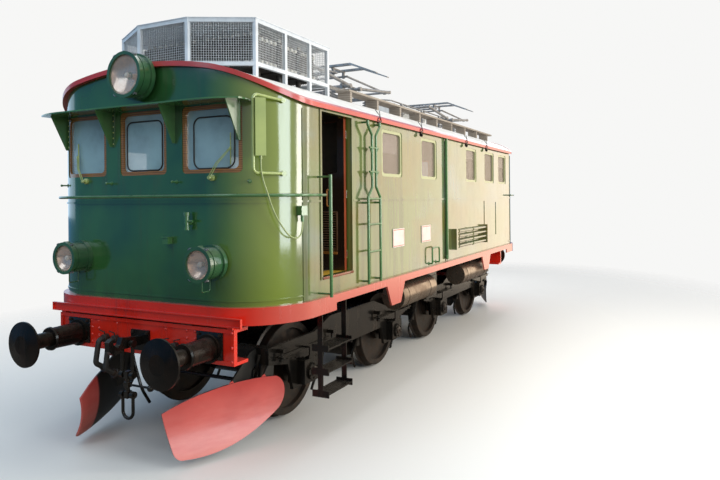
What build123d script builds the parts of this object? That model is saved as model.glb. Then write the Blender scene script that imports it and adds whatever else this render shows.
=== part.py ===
from build123d import *
from math import cos, pi, radians, sin, tan
import os

# Standard-gauge Bo'Bo' electric locomotive with outside-framed bogies.
# Millimetres. +X is the front end, +Y the left side, +Z up. The origin is on
# the floor under the middle, where the lowest points of the wheel flanges are.

os.makedirs("parts", exist_ok=True)

# Track and wheels
flange_height = 28
rail_level = flange_height
wheel_diameter = 1040
axle_height = rail_level + wheel_diameter / 2
back_to_back = 1360
tyre_width = 135
flange_width = 33
rim_depth = 78
hub_radius = 150
web_thickness = 32
axle_radius = 80
journal_radius = 60
journal_end = 1085

# Lengths of the vehicle
length_over_buffers = 10200
bogie_spacing = 4100
wheelbase = 2200
bogie_x = bogie_spacing / 2

# Carbody shell
body_length = 8870
body_width = 3090
corner_radius = 650
wall = 60
body_bottom = 1458
roof_crown = 3798
roof_shoulder_y = 850
roof_shoulder = 3718
roof_edge_y = 1600
roof_edge = 3397
roof_thickness = 40
panel_seam_x = 3880
rim_width = 45
rim_height = 48
seat_gap = 0.3

# Skirt round the foot of the body
skirt_proud = 50
skirt_inset = 70
skirt_bottom = 1374
apron_bottom = 1295
apron_thickness = 25
apron_start_x = 3400

# Doors and windows
door_x = 3290
door_width = 610
door_bottom = 1658
door_top = 3338
door_thickness = 45
door_clearance = 6
jamb_width = 30
jamb_proud = 10
door_middle = (door_bottom + door_top) / 2
hinge_radius = 9
hinge_pin = 4
hinge_fit = 0.3
hinge_height = 60
hinge_lug = 12
hinge_gap = 12
hinge_heights = [door_bottom + 180, door_middle, door_top - 180]
door_hinge_x = door_x - door_width / 2 + hinge_gap
door_hinge_y = body_width / 2 - wall
window_bottom = 2718
window_top = 3298
window_corner = 45
front_window_bottom = 2700
front_window_top = 3335
frame_border = 38
frame_depth = 44
glass_thickness = 8

# Front windows: offset from the centre line, width
front_windows = [(-852, 668), (0, 628), (852, 668)]
# Left side windows: place along the side, width
side_windows = [(1935, 590), (705, 600), (-1240, 580), (-2335, 620), (-3245, 570)]

# Underframe
sill_y = 620
sill_width = 140
sill_bottom = 1271
deck_bottom = 1430
bearer_bottom = 1330
sill_end_x = body_length / 2 - skirt_inset
pivot_radius = 85
pivot_plate_bottom = 1150
pivot_bottom = 960

# Buffer beam and buffers
beam_x = 4487
beam_half_width = 1169
beam_bottom = 940
beam_top = sill_bottom
beam_depth = 180
beam_plate = 30
rim_proud = 14
rim_line = 36
board_half_width = 1263
board_bottom = 1292
board_lip = 16
board_plate = 10
board_bracket_y = 1120
bracket_depth = 60
board_top = 1377
board_x = body_length / 2 + skirt_proud + 26
buffer_y = 880
buffer_height = rail_level + 1050
buffer_head_radius = 220
buffer_flat_radius = 90
buffer_face_x = length_over_buffers / 2

# Bogies
frame_y = 1005
frame_plate = 40
bogie_half_length = 1750
box_half_width = 150
bolster_top = pivot_plate_bottom - seat_gap

# Roof equipment
pantograph_places = [("front", 1050), ("rear", -2950)]
pivot_height = 4080
pivot_spacing = 300
arm_length = 1000
fold_angle = 6
arm_tube = 24
lower_arm_y = 520
knee_y = 440
head_pivot_y = 300
pan_spacing = 360


def body_ring(outer, inner, bottom, top):
    # Upright ring that follows the plan of the body, grown by outer and inner
    with BuildPart() as ring:
        with BuildSketch(Plane.XY.offset(bottom)):
            RectangleRounded(body_length + 2 * outer, body_width + 2 * outer, corner_radius + outer)
            RectangleRounded(
                body_length + 2 * inner, body_width + 2 * inner, corner_radius + inner, mode=Mode.SUBTRACT
            )
        extrude(amount=top - bottom)
    return ring.part


def body_plate(grow, bottom, top):
    # Flat plate in the plan of the body
    with BuildPart() as plate:
        with BuildSketch(Plane.XY.offset(bottom)):
            RectangleRounded(body_length + 2 * grow, body_width + 2 * grow, corner_radius + grow)
        extrude(amount=top - bottom)
    return plate.part


def under_arch(lift, floor_level):
    # Everything below the arch of the roof, moved up by lift
    half = body_length
    with BuildPart() as arch:
        with BuildSketch(Plane.YZ.offset(-half)):
            with BuildLine():
                crown = ThreePointArc(
                    (-roof_shoulder_y, roof_shoulder + lift),
                    (0, roof_crown + lift),
                    (roof_shoulder_y, roof_shoulder + lift),
                )
                right = TangentArc(crown @ 1, (roof_edge_y, roof_edge + lift), tangent=crown % 1)
                left = TangentArc(
                    crown @ 0, (-roof_edge_y, roof_edge + lift), tangent=(crown % 0) * -1
                )
                Polyline(
                    right @ 1, (roof_edge_y, floor_level), (-roof_edge_y, floor_level), left @ 1
                )
            make_face()
        extrude(amount=2 * half)
    return arch.part


def window_prisms(shrink):
    # Straight prisms through all the window openings
    height = window_top - window_bottom - 2 * shrink
    middle = (window_top + window_bottom) / 2
    front_height = front_window_top - front_window_bottom - 2 * shrink
    front_middle = (front_window_top + front_window_bottom) / 2
    with BuildPart() as prisms:
        with BuildSketch(Plane.YZ):
            for y, width in front_windows:
                with Locations((y, front_middle)):
                    RectangleRounded(width - 2 * shrink, front_height, window_corner)
        extrude(amount=body_length, both=True)
        for x, width in side_windows:
            with BuildSketch(Plane.XZ):
                with Locations((x, middle)):
                    RectangleRounded(width - 2 * shrink, height, window_corner)
            extrude(amount=-body_width)
            with BuildSketch(Plane.XZ):
                with Locations((-x, middle)):
                    RectangleRounded(width - 2 * shrink, height, window_corner)
            extrude(amount=body_width)
    return prisms.part


roof_space = under_arch(-roof_thickness, body_bottom)
window_cut = window_prisms(0)
wall_ring = body_ring(0, -wall, body_bottom, roof_crown)

# Walls: the two ends with their rounded corners, and the two sides, each of a long panel with the
# windows and a short panel round the doorway
door_panel_seam_x = 2900
for end, sign in (("front", 1), ("rear", -1)):
    with BuildPart() as end_wall:
        add(wall_ring)
        with Locations((sign * (panel_seam_x + body_length / 2), 0, roof_crown)):
            Box(body_length, 2 * body_width, 3 * roof_crown, mode=Mode.INTERSECT)
        add(roof_space, mode=Mode.INTERSECT)
        add(window_cut, mode=Mode.SUBTRACT)
    end_wall.part.label = f"end_wall_{end}"
    export_step(end_wall.part, f"parts/end_wall_{end}.step")

for side, sign in (("left", 1), ("right", -1)):
    with BuildPart() as side_wall:
        add(wall_ring)
        with Locations((0, sign * body_width, roof_crown)):
            Box(2 * panel_seam_x, 2 * body_width - 2, 3 * roof_crown, mode=Mode.INTERSECT)
        add(roof_space, mode=Mode.INTERSECT)
        add(window_cut, mode=Mode.SUBTRACT)
        with Locations((sign * door_x, sign * body_width / 2, (door_bottom + door_top) / 2)):
            Box(door_width, 4 * wall, door_top - door_bottom, mode=Mode.SUBTRACT)
        jamb_y = sign * (body_width / 2 + jamb_proud / 2)
        with Locations((sign * door_x, jamb_y, (door_bottom + door_top) / 2)):
            Box(door_width + 2 * jamb_width, jamb_proud, door_top - door_bottom + 2 * jamb_width)
            Box(door_width, 4 * jamb_proud, door_top - door_bottom, mode=Mode.SUBTRACT)
        for z in hinge_heights:
            with Locations((sign * door_hinge_x, sign * door_hinge_y, z)):
                Cylinder(hinge_pin, hinge_height + 2 * hinge_lug)
            for rise in (1, -1):
                lug_z = z + rise * (hinge_height / 2 + hinge_fit + hinge_lug / 2)
                with Locations((sign * door_hinge_x, sign * door_hinge_y, lug_z)):
                    Cylinder(hinge_radius, hinge_lug)
                with Locations((sign * (door_hinge_x - 26), sign * (door_hinge_y - 5), lug_z)):
                    Box(52, 12, hinge_lug)
        split(bisect_by=Plane.YZ.offset(sign * door_panel_seam_x), keep=Keep.BOTH)
    side_wall.part.label = f"side_wall_{side}"
    export_step(side_wall.part, f"parts/side_wall_{side}.step")

# Roof shell and the gutter rim round its edge
above_roof_space = under_arch(-roof_thickness, 0)
with BuildPart() as roof:
    add(body_plate(0, roof_edge - 2 * roof_thickness, roof_crown + roof_thickness))
    add(under_arch(0, 0), mode=Mode.INTERSECT)
    add(above_roof_space, mode=Mode.SUBTRACT)
roof.part.label = "roof"
export_step(roof.part, "parts/roof.step")

with BuildPart() as roof_rim:
    add(body_ring(rim_width, 0, roof_edge - 3 * rim_height, roof_crown + rim_height))
    add(under_arch(6, 0), mode=Mode.INTERSECT)
    add(under_arch(6 - rim_height, 0), mode=Mode.SUBTRACT)
roof_rim.part.label = "roof_rim"
export_step(roof_rim.part, "parts/roof_rim.step")

# Wood window frames in the openings and the panes in the frames
frame_shell = body_ring(-8, -8 - frame_depth, body_bottom, roof_edge)
frame_inside = window_prisms(frame_border)
with BuildPart() as window_frames:
    add(frame_shell)
    add(window_prisms(seat_gap), mode=Mode.INTERSECT)
    add(frame_inside, mode=Mode.SUBTRACT)
window_frames.part.label = "window_frames"
export_step(window_frames.part, "parts/window_frames.step")

# Cab floors and the bulkheads behind the cabs
bulkhead_x = 2800
bulkhead_thickness = 40
gangway_width = 620
gangway_height = 1900
cab_floor_thickness = 30
inner_plan = body_plate(-wall, body_bottom, roof_crown)
with BuildPart() as bulkheads:
    for sign in (1, -1):
        with Locations((sign * bulkhead_x, 0, roof_crown / 2)):
            Box(bulkhead_thickness, body_width, 2 * roof_crown)
        with Locations((sign * bulkhead_x, 0, door_bottom + gangway_height / 2)):
            Box(2 * bulkhead_thickness, gangway_width, gangway_height, mode=Mode.SUBTRACT)
        with Locations((sign * (bulkhead_x + body_length / 2), 0, door_bottom - cab_floor_thickness / 2)):
            Box(body_length, body_width, cab_floor_thickness)
    add(inner_plan, mode=Mode.INTERSECT)
    add(roof_space, mode=Mode.INTERSECT)
bulkheads.part.label = "cab_floors_and_bulkheads"
export_step(bulkheads.part, "parts/cab_floors_and_bulkheads.step")

# Doors: the left one stands open into the cab, the right one is shut
door_leaf_width = door_width - 2 * door_clearance
door_leaf_height = door_top - door_bottom - 2 * door_clearance
door_window_height = 560
door_window_width = door_leaf_width - 170
for side, turn in (("left", -90), ("right", 0)):
    with BuildPart() as leaf:
        leaf_x = door_hinge_x - hinge_gap + door_clearance + door_leaf_width / 2
        with Locations((leaf_x, door_hinge_y + hinge_gap + door_thickness / 2, door_middle)):
            Box(door_leaf_width, door_thickness, door_leaf_height)
        with Locations((leaf_x, door_hinge_y + hinge_gap, window_top - door_window_height / 2)):
            Box(door_window_width, 4 * door_thickness, door_window_height, mode=Mode.SUBTRACT)
        for z in hinge_heights:
            with Locations((door_hinge_x + 30, door_hinge_y + hinge_gap - 3, z)):
                Box(60, 6, hinge_height)
            with Locations((door_hinge_x, door_hinge_y, z)):
                Cylinder(hinge_radius, hinge_height)
            with Locations((door_hinge_x + 4, door_hinge_y + hinge_gap / 2, z)):
                Box(8, hinge_gap, hinge_height)
            with Locations((door_hinge_x, door_hinge_y, z)):
                Cylinder(hinge_pin + hinge_fit, hinge_height, mode=Mode.SUBTRACT)
    door = leaf.part.rotate(Axis((door_hinge_x, door_hinge_y, 0), (0, 0, 1)), turn)
    if side == "right":
        door = door.rotate(Axis.Z, 180)
    door.label = f"door_{side}"
    export_step(door, f"parts/door_{side}.step")

# Skirt: curb ring under the walls, deep aprons round the ends, side brackets
bracket_x = 1950
bracket_top_width = 520
bracket_bottom_width = 260
bracket_bottom = 1120
with BuildPart() as skirt:
    add(body_ring(skirt_proud, -skirt_inset, skirt_bottom, body_bottom))
    add(body_ring(skirt_proud, skirt_proud - apron_thickness, apron_bottom, skirt_bottom))
    with Locations((0, 0, (apron_bottom + skirt_bottom) / 2 - 1)):
        Box(2 * apron_start_x, 2 * body_width, skirt_bottom - apron_bottom + 2, mode=Mode.SUBTRACT)
    for sign in (1, -1):
        for side in (1, -1):
            with BuildSketch(Plane.XZ.offset(-side * (body_width / 2 + skirt_proud))):
                with BuildLine():
                    Polyline(
                        (sign * bracket_x - bracket_top_width / 2, skirt_bottom),
                        (sign * bracket_x + bracket_top_width / 2, skirt_bottom),
                        (sign * bracket_x + bracket_bottom_width / 2, bracket_bottom),
                        (sign * bracket_x - bracket_bottom_width / 2, bracket_bottom),
                        close=True,
                    )
                make_face()
            extrude(amount=side * apron_thickness)
skirt.part.label = "skirt"
export_step(skirt.part, "parts/skirt.step")

# Underframe: deck, two sills, cross bearers, bolsters and the bogie pivots
bearer_places = [-3300, -2700, -900, 0, 900, 2700, 3300]
bearer_width = 90
locker_y = 1020
locker_length = 420
locker_width = 520
locker_bottom = 880
with BuildPart() as underframe:
    add(body_plate(-skirt_inset, deck_bottom, body_bottom))
    for side in (1, -1):
        with Locations((0, side * sill_y, (sill_bottom + deck_bottom) / 2)):
            Box(2 * sill_end_x, sill_width, deck_bottom - sill_bottom)
    for x in bearer_places:
        with Locations((x, 0, (bearer_bottom + deck_bottom) / 2)):
            Box(bearer_width, body_width - 2 * skirt_inset, deck_bottom - bearer_bottom)
    for sign in (1, -1):
        with Locations((sign * bogie_x, 0, (sill_bottom + deck_bottom) / 2)):
            Box(420, 2 * sill_y, deck_bottom - sill_bottom)
        with Locations((sign * bogie_x, 0, (pivot_plate_bottom + sill_bottom) / 2)):
            Cylinder(260, sill_bottom - pivot_plate_bottom)
        with Locations((sign * bogie_x, 0, (pivot_bottom + pivot_plate_bottom) / 2)):
            Cylinder(pivot_radius, pivot_plate_bottom - pivot_bottom)
    for side in (1, -1):
        with Locations((0, side * locker_y, (locker_bottom + bearer_bottom) / 2)):
            Box(locker_length, locker_width, bearer_bottom - locker_bottom)
        with Locations((0, side * (locker_y + locker_width / 2 + 8), locker_bottom + 190)):
            Box(locker_length - 50, 16, 300)
underframe.part.label = "underframe"
export_step(underframe.part, "parts/underframe.step")

# Buffer beams: rimmed plate with flanges, hung under the sills, and the step board
with BuildPart() as buffer_beams:
    for sign in (1, -1):
        middle = (beam_bottom + beam_top) / 2
        height = beam_top - beam_bottom
        with Locations((sign * (beam_x - rim_proud - beam_plate / 2), 0, middle)):
            Box(beam_plate, 2 * beam_half_width, height)
        with Locations((sign * (beam_x - rim_proud / 2), 0, middle)):
            Box(rim_proud, 2 * beam_half_width, height)
            Box(rim_proud, 2 * (beam_half_width - rim_line), height - 2 * rim_line, mode=Mode.SUBTRACT)
        for z in (beam_bottom + beam_plate / 2, beam_top - beam_plate / 2):
            with Locations((sign * (beam_x - rim_proud - beam_depth / 2), 0, z)):
                Box(beam_depth, 2 * beam_half_width, beam_plate)
        for y in (-buffer_y, -sill_y / 2, sill_y / 2, buffer_y):
            with Locations((sign * (beam_x - rim_proud - beam_depth / 2), y, middle)):
                Box(beam_depth, beam_plate, height)
        board_back = body_length / 2 + skirt_proud
        board_middle = (board_bottom + board_top) / 2
        with Locations((sign * (board_back + board_x) / 2, 0, board_middle)):
            Box(board_x - board_back, 2 * board_half_width, board_top - board_bottom)
        with Locations((sign * (board_x - board_lip / 2), 0, board_middle)):
            Box(
                board_lip,
                2 * board_half_width - 2 * board_plate,
                board_top - board_bottom - 2 * board_plate,
                mode=Mode.SUBTRACT,
            )
        for side in (1, -1):
            with Locations((sign * (board_back - bracket_depth / 2), side * board_bracket_y, beam_top + 10)):
                Box(bracket_depth, 60, 20)
                with Locations((bracket_depth * sign / 2 - sign * 10, 0, (board_bottom - beam_top) / 2)):
                    Box(20, 60, board_bottom - beam_top + 20)
buffer_beams.part.label = "buffer_beams"
export_step(buffer_beams.part, "parts/buffer_beams.step")

# Buffers: base plate, sleeve, plunger and domed head
buffer_profile = [
    # distance behind the face, radius
    (0, 0),
    (0, buffer_flat_radius),
    (22, buffer_head_radius),
    (40, buffer_head_radius),
    (62, 75),
    (280, 75),
    (280, 112),
    (300, 118),
    (320, 105),
    (buffer_face_x - beam_x - 26, 112),
    (buffer_face_x - beam_x - 26, 135),
    (buffer_face_x - beam_x, 135),
    (buffer_face_x - beam_x, 0),
]
with BuildPart() as buffers:
    for sign in (1, -1):
        for y in (-buffer_y, buffer_y):
            face = Plane(
                origin=(sign * buffer_face_x, y, buffer_height), x_dir=(-sign, 0, 0), z_dir=(0, 1, 0)
            )
            with BuildSketch(face):
                with BuildLine():
                    Polyline(*[(d, r * face.y_dir.Z) for d, r in buffer_profile], close=True)
                make_face()
            revolve(axis=Axis((0, y, buffer_height), (1, 0, 0)))
buffers.part.label = "buffers"
export_step(buffers.part, "parts/buffers.step")

# Draw hooks with screw couplings, and the air hoses held on their rests
hook_height = buffer_height
hook_thickness = 60
hook_outline = [
    # distance from the beam face, height from the hook axis
    (-rim_proud, -40),
    (210, -40),
    (250, -70),
    (330, -75),
    (375, -30),
    (380, 55),
    (345, 80),
    (325, 20),
    (290, -8),
    (255, 10),
    (230, 75),
    (150, 60),
    (-rim_proud, 40),
]
link_rod = 17
link_half = 68
eye_thickness = 40
shackle_rod = 15
link_length = 300
screw_length = 190
shackle_length = 230
with BuildPart() as couplings:
    for sign in (1, -1):
        with BuildSketch(Plane.XZ.offset(-hook_thickness / 2)):
            with BuildLine():
                Polyline(*[(sign * (beam_x + d), hook_height + h) for d, h in hook_outline], close=True)
            make_face()
        extrude(amount=hook_thickness)
        with Locations((sign * (beam_x + 10 - rim_proud), 0, hook_height)):
            Box(20, 240, 200)
        with Locations((sign * (beam_x + 150), 0, hook_height)):
            Cylinder(22, 170, rotation=(90, 0, 0))
        pin_x = sign * (beam_x + 150)
        for y in (-link_half, link_half):
            with Locations((pin_x, y, hook_height - link_length / 2)):
                Cylinder(link_rod, link_length)
            for z in (hook_height, hook_height - link_length):
                with Locations((pin_x, y, z)):
                    Cylinder(2 * link_rod, eye_thickness, rotation=(90, 0, 0))
        screw_top = hook_height - link_length
        trunnion_length = 2 * link_half + eye_thickness + 14
        with Locations((pin_x, 0, screw_top)):
            Cylinder(link_rod, trunnion_length, rotation=(90, 0, 0))
            Box(3 * link_rod, 3 * link_rod, 4 * link_rod)
        with Locations((pin_x, 0, screw_top - screw_length / 2)):
            Cylinder(20, screw_length)
        with Locations((pin_x, 0, screw_top - screw_length / 2)):
            Box(50, 60, 50)
        with Locations((pin_x, 150, screw_top - screw_length / 2)):
            Cylinder(11, 300, rotation=(90, 0, 0))
            with Locations((0, 150, 0)):
                Sphere(34)
        trunnion = screw_top - screw_length
        with Locations((pin_x, 0, trunnion)):
            Cylinder(link_rod, trunnion_length, rotation=(90, 0, 0))
            Box(3 * link_rod, 3 * link_rod, 4 * link_rod)
        with Locations((pin_x, -link_half, trunnion), (pin_x, link_half, trunnion)):
            Cylinder(2 * link_rod, eye_thickness, rotation=(90, 0, 0))
        eye_foot = trunnion - link_rod - 4
        with BuildLine():
            FilletPolyline(
                (pin_x, -link_half, eye_foot),
                (pin_x, -link_half, trunnion - shackle_length),
                (pin_x, link_half, trunnion - shackle_length),
                (pin_x, link_half, eye_foot),
                radius=link_half - 2,
            )
        with BuildSketch(Plane(origin=(pin_x, -link_half, eye_foot), z_dir=(0, 0, -1))):
            Circle(shackle_rod)
        sweep()
couplings.part.label = "draw_hooks"
export_step(couplings.part, "parts/draw_hooks.step")

hose_radius = 26
with BuildPart() as hoses:
    for sign in (1, -1):
        for side in (1, -1):
            for y in (330, 470):
                drop = 150 if y == 330 else 110
                top = (sign * (beam_x + 30), side * y, beam_bottom + 90)
                with BuildLine():
                    FilletPolyline(
                        (sign * (beam_x - rim_proud), side * y, beam_bottom + 120),
                        (sign * (beam_x + 90), side * y, beam_bottom + 120),
                        (sign * (beam_x + 130), side * y, beam_bottom - drop),
                        (sign * (beam_x + 40), side * y, beam_bottom - drop - 60),
                        radius=45,
                    )
                with BuildSketch(
                    Plane(
                        origin=(sign * (beam_x - rim_proud), side * y, beam_bottom + 120),
                        z_dir=(sign, 0, 0),
                    )
                ):
                    Circle(hose_radius)
                sweep()
hoses.part.label = "air_hoses"
export_step(hoses.part, "parts/air_hoses.step")

# Wheelsets: axle, wheel discs, tyres and flanges in one half section
rim_inner = wheel_diameter / 2 - rim_depth
tread_start = back_to_back / 2 + flange_width
wheel_outer = back_to_back / 2 + tyre_width
web_inner = back_to_back / 2 + 50
wheel_section = [
    # distance from the centre line, radius
    (0, 0),
    (0, axle_radius),
    (back_to_back / 2 - 25, axle_radius),
    (back_to_back / 2 - 25, hub_radius),
    (web_inner, hub_radius),
    (web_inner, rim_inner),
    (back_to_back / 2, rim_inner),
    (back_to_back / 2, axle_height - 8),
    (back_to_back / 2 + 8, axle_height),
    (back_to_back / 2 + 18, axle_height),
    (tread_start, wheel_diameter / 2 + 2),
    (wheel_outer - 8, wheel_diameter / 2 - 3),
    (wheel_outer, wheel_diameter / 2 - 10),
    (wheel_outer, rim_inner),
    (web_inner + web_thickness, rim_inner),
    (web_inner + web_thickness, hub_radius),
    (wheel_outer + 15, hub_radius),
    (wheel_outer + 15, axle_radius),
    (wheel_outer + 60, axle_radius),
    (wheel_outer + 60, journal_radius),
    (journal_end, journal_radius),
    (journal_end, 0),
]
axle_places = [bogie_x + wheelbase / 2, bogie_x - wheelbase / 2]
axle_places += [-x for x in reversed(axle_places)]
for number, x in enumerate(axle_places, start=1):
    with BuildPart() as wheelset:
        section = Plane(origin=(x, 0, axle_height), x_dir=(0, 1, 0), z_dir=(1, 0, 0))
        with BuildSketch(section):
            with BuildLine():
                Polyline(*wheel_section, close=True)
            make_face()
        revolve(axis=Axis((x, 0, axle_height), (0, 1, 0)))
        mirror(about=Plane.XZ)
    wheelset.part.label = f"wheelset_{number}"
    export_step(wheelset.part, f"parts/wheelset_{number}.step")

# Bogie frames: outside plates with horn guides, headstocks, bolster, motors
horn_gap = seat_gap
frame_top = 930
frame_crown = 1050
horn_width = 80
stay_thickness = 26
brake_gap = 10
shoe_thickness = 85
shoe_height = 260
shoe_y = 760
shoe_width = 70
hanger_reach = wheel_diameter / 2 + 78
hanger_top = 860
gear_case_y = 600
gear_case_width = 80
gear_case_radius = 290
spring_y = frame_y + frame_plate / 2 + 50
spring_half_length = 520
hanger_inset = 25
bracket_level = 860
frame_half_outline = [
    # distance from the bogie centre, height
    (0, frame_crown),
    (560, frame_crown),
    (900, frame_top),
    (bogie_half_length, frame_top),
    (bogie_half_length, 760),
    (wheelbase / 2 + 320, 690),
    (wheelbase / 2 + 230, 420),
    (wheelbase / 2 + box_half_width + horn_gap, 420),
    (wheelbase / 2 + box_half_width + horn_gap, 800),
    (wheelbase / 2 - box_half_width - horn_gap, 800),
    (wheelbase / 2 - box_half_width - horn_gap, 420),
    (wheelbase / 2 - 230, 420),
    (wheelbase / 2 - 320, 640),
    (0, 640),
]
headstock_width = 90
motor_radius = 310


def brake_block(axle_x, side, way, with_beam):
    # Shoe on the tread and its hanger, on a pin in the frame or joined by a cross beam
    hanger_x = axle_x + way * hanger_reach
    with BuildPart() as brake:
        with Locations((axle_x + way * (wheel_diameter / 2 + shoe_thickness / 2), side * shoe_y, axle_height)):
            Box(shoe_thickness, shoe_width, shoe_height)
        with Locations((axle_x, side * shoe_y, axle_height)):
            Cylinder(wheel_diameter / 2 + brake_gap, 2 * shoe_width, rotation=(90, 0, 0), mode=Mode.SUBTRACT)
        with Locations((hanger_x, side * shoe_y, (axle_height - 40 + hanger_top) / 2)):
            Box(28, 40, hanger_top - axle_height + 40)
        if with_beam:
            with Locations((hanger_x, side * shoe_y / 2, axle_height)):
                Cylinder(20, shoe_y, rotation=(90, 0, 0))
        else:
            with Locations((hanger_x, side * (shoe_y + frame_y) / 2, hanger_top - 20)):
                Cylinder(20, frame_y - shoe_y, rotation=(90, 0, 0))
    return brake.part


with BuildPart() as bogie:
    for side in (1, -1):
        with BuildSketch(Plane.XZ.offset(-side * frame_y - frame_plate / 2)):
            with BuildLine():
                Polyline(*[(bogie_x + x, z) for x, z in frame_half_outline])
                Polyline(*[(bogie_x - x, z) for x, z in frame_half_outline])
            make_face()
        extrude(amount=frame_plate)
    for end in (1, -1):
        with Locations((bogie_x + end * (bogie_half_length - headstock_width / 2), 0, (760 + frame_top) / 2)):
            Box(headstock_width, 2 * frame_y, frame_top - 760)
    with Locations((bogie_x, 0, (780 + bolster_top) / 2)):
        Box(460, 560, bolster_top - 780)
    with Locations((bogie_x, 0, 860)):
        Box(460, 2 * frame_y, 240)
    with Locations((bogie_x, 0, bolster_top)):
        Cylinder(pivot_radius + 6, 2 * (bolster_top - pivot_bottom + 40), mode=Mode.SUBTRACT)
    for end in (1, -1):
        motor_x = bogie_x + end * (wheelbase / 2 - 480)
        with Locations((motor_x, 0, axle_height + 20)):
            Cylinder(motor_radius, 2 * (back_to_back / 2 - 60), rotation=(90, 0, 0))
        with Locations((bogie_x + end * 340, 0, 770)):
            Box(260, 360, 150)
        axle_x = bogie_x + end * wheelbase / 2
        with Locations((axle_x, gear_case_y, axle_height)):
            Cylinder(gear_case_radius, gear_case_width, rotation=(90, 0, 0))
        with Locations(((axle_x + motor_x) / 2, gear_case_y, axle_height)):
            Box(abs(axle_x - motor_x), gear_case_width, 2 * gear_case_radius - 60)
        with Locations((axle_x, 0, axle_height)):
            Cylinder(axle_radius + 12, 2 * gear_case_y + 200, rotation=(90, 0, 0), mode=Mode.SUBTRACT)
        for side in (1, -1):
            stay_length = 2 * (box_half_width + horn_gap + horn_width)
            with Locations((axle_x, side * frame_y, 420 - stay_thickness / 2)):
                Box(stay_length, frame_plate, stay_thickness)
            for way in (1, -1):
                spring_end = axle_x + way * (spring_half_length - hanger_inset)
                with Locations((spring_end, side * (frame_y + spring_y + 40) / 2, bracket_level + 20)):
                    Box(60, spring_y + 40 - frame_y, 40)
                add(brake_block(axle_x, side, way, way == end))
bogie.part.label = "bogie_frame_front"
export_step(bogie.part, "parts/bogie_frame_front.step")
rear_bogie = bogie.part.rotate(Axis.Z, 180)
rear_bogie.label = "bogie_frame_rear"
export_step(rear_bogie, "parts/bogie_frame_rear.step")

# Axleboxes with the leaf springs on top of them
box_inner_y = 900
box_outer_y = 1125
box_bottom = 430
box_top = 690
spring_leaves = 6
leaf_thickness = 14
box_lid_radius = 96
box_lid_thickness = 22
hanger_pin = 13
with BuildPart() as axleboxes:
    for end in (1, -1):
        x = bogie_x + end * wheelbase / 2
        for side in (1, -1):
            y = side * (box_inner_y + box_outer_y) / 2
            with Locations((x, y, (box_bottom + box_top) / 2)):
                Box(2 * box_half_width, box_outer_y - box_inner_y, box_top - box_bottom)
            bore_length = journal_end + 2 - box_inner_y
            with Locations((x, side * (box_inner_y + bore_length / 2), axle_height)):
                Cylinder(journal_radius + 0.5, bore_length, rotation=(90, 0, 0), mode=Mode.SUBTRACT)
            with Locations((x, side * spring_y, box_top + 20)):
                Box(110, 90, 40)
            for leaf in range(spring_leaves):
                half = spring_half_length * (1 - 0.14 * (spring_leaves - 1 - leaf))
                with Locations((x, side * spring_y, box_top + 40 + leaf_thickness * (leaf + 0.5))):
                    Box(2 * half, 80, leaf_thickness)
            spring_top = box_top + 40 + leaf_thickness * spring_leaves
            with Locations((x, side * spring_y, (box_top + 20 + spring_top + 12) / 2)):
                Box(90, 96, spring_top + 12 - box_top - 20)
            with Locations((x, side * (box_outer_y + box_lid_thickness / 2), axle_height)):
                Cylinder(box_lid_radius, box_lid_thickness, rotation=(90, 0, 0))
            for way in (1, -1):
                pin_x = x + way * (spring_half_length - hanger_inset)
                pin_bottom = spring_top - leaf_thickness - 34
                with Locations((pin_x, side * spring_y, (pin_bottom + bracket_level - seat_gap) / 2)):
                    Cylinder(hanger_pin, bracket_level - seat_gap - pin_bottom)
                with Locations((pin_x, side * spring_y, pin_bottom + 12)):
                    Cylinder(2 * hanger_pin, 24)
axleboxes.part.label = "axleboxes_front"
export_step(axleboxes.part, "parts/axleboxes_front.step")
rear_boxes = axleboxes.part.rotate(Axis.Z, 180)
rear_boxes.label = "axleboxes_rear"
export_step(rear_boxes, "parts/axleboxes_rear.step")

# Plough blades: curved leaves in front of the leading wheels
blade_front = (4640, 640)
blade_rear = (3560, 1150)
blade_angle = Vector(
    blade_rear[0] - blade_front[0], blade_rear[1] - blade_front[1], 0
)
blade_thickness = 16
blade_bow_radius = 620
bow_height = 430
bow_set_back = 60
blade_reach = blade_angle.length
with BuildPart() as plough:
    for side in (1, -1):
        along = Vector(blade_angle.X, side * blade_angle.Y, 0).normalized()
        origin = (blade_front[0], side * blade_front[1], 0)
        outward = Vector(0, 0, 1).cross(along) * -side
        face = Plane(origin=origin, x_dir=along, z_dir=along.cross(Vector(0, 0, 1)))
        with BuildSketch(face):
            with BuildLine():
                toe = ThreePointArc((-55, 160), (-25, 98), (35, 78))
                bottom = ThreePointArc(toe @ 1, (570, 105), (1040, 300))
                tip = ThreePointArc(bottom @ 1, (1120, 460), (1010, 640))
                top = ThreePointArc(tip @ 1, (560, 662), (-130, 505))
                Line(top @ 1, toe @ 0)
            make_face()
        extrude(amount=200, both=True)
strut_table = [
    # side offset, outline along the side and up
    (860, [(3800, 780), (3800, 920), (3900, 900), (4250, 620), (4250, 380), (3960, 400), (3880, 700)]),
    (1005, [(3700, 738.5), (3800, 759.7), (3900, 640), (3900, 520), (3720, 560)]),
]
strut_thickness = 20
with BuildPart() as plough_struts:
    for side in (1, -1):
        for y, outline in strut_table:
            with BuildSketch(Plane.XZ.offset(-side * y - strut_thickness / 2)):
                with BuildLine():
                    Polyline(*outline, close=True)
                make_face()
            extrude(amount=strut_thickness)
        along = Vector(blade_angle.X, side * blade_angle.Y, 0).normalized()
        normal = Vector(along.Y, -along.X, 0) * side
        start = Vector(blade_front[0], side * blade_front[1], bow_height) - along * 250
        section = Plane(origin=start, x_dir=normal, z_dir=along)
        with BuildSketch(section):
            with Locations((blade_bow_radius - bow_set_back, 0)):
                Circle(blade_bow_radius - blade_thickness / 2)
        extrude(amount=blade_reach + 400, mode=Mode.SUBTRACT)
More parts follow.
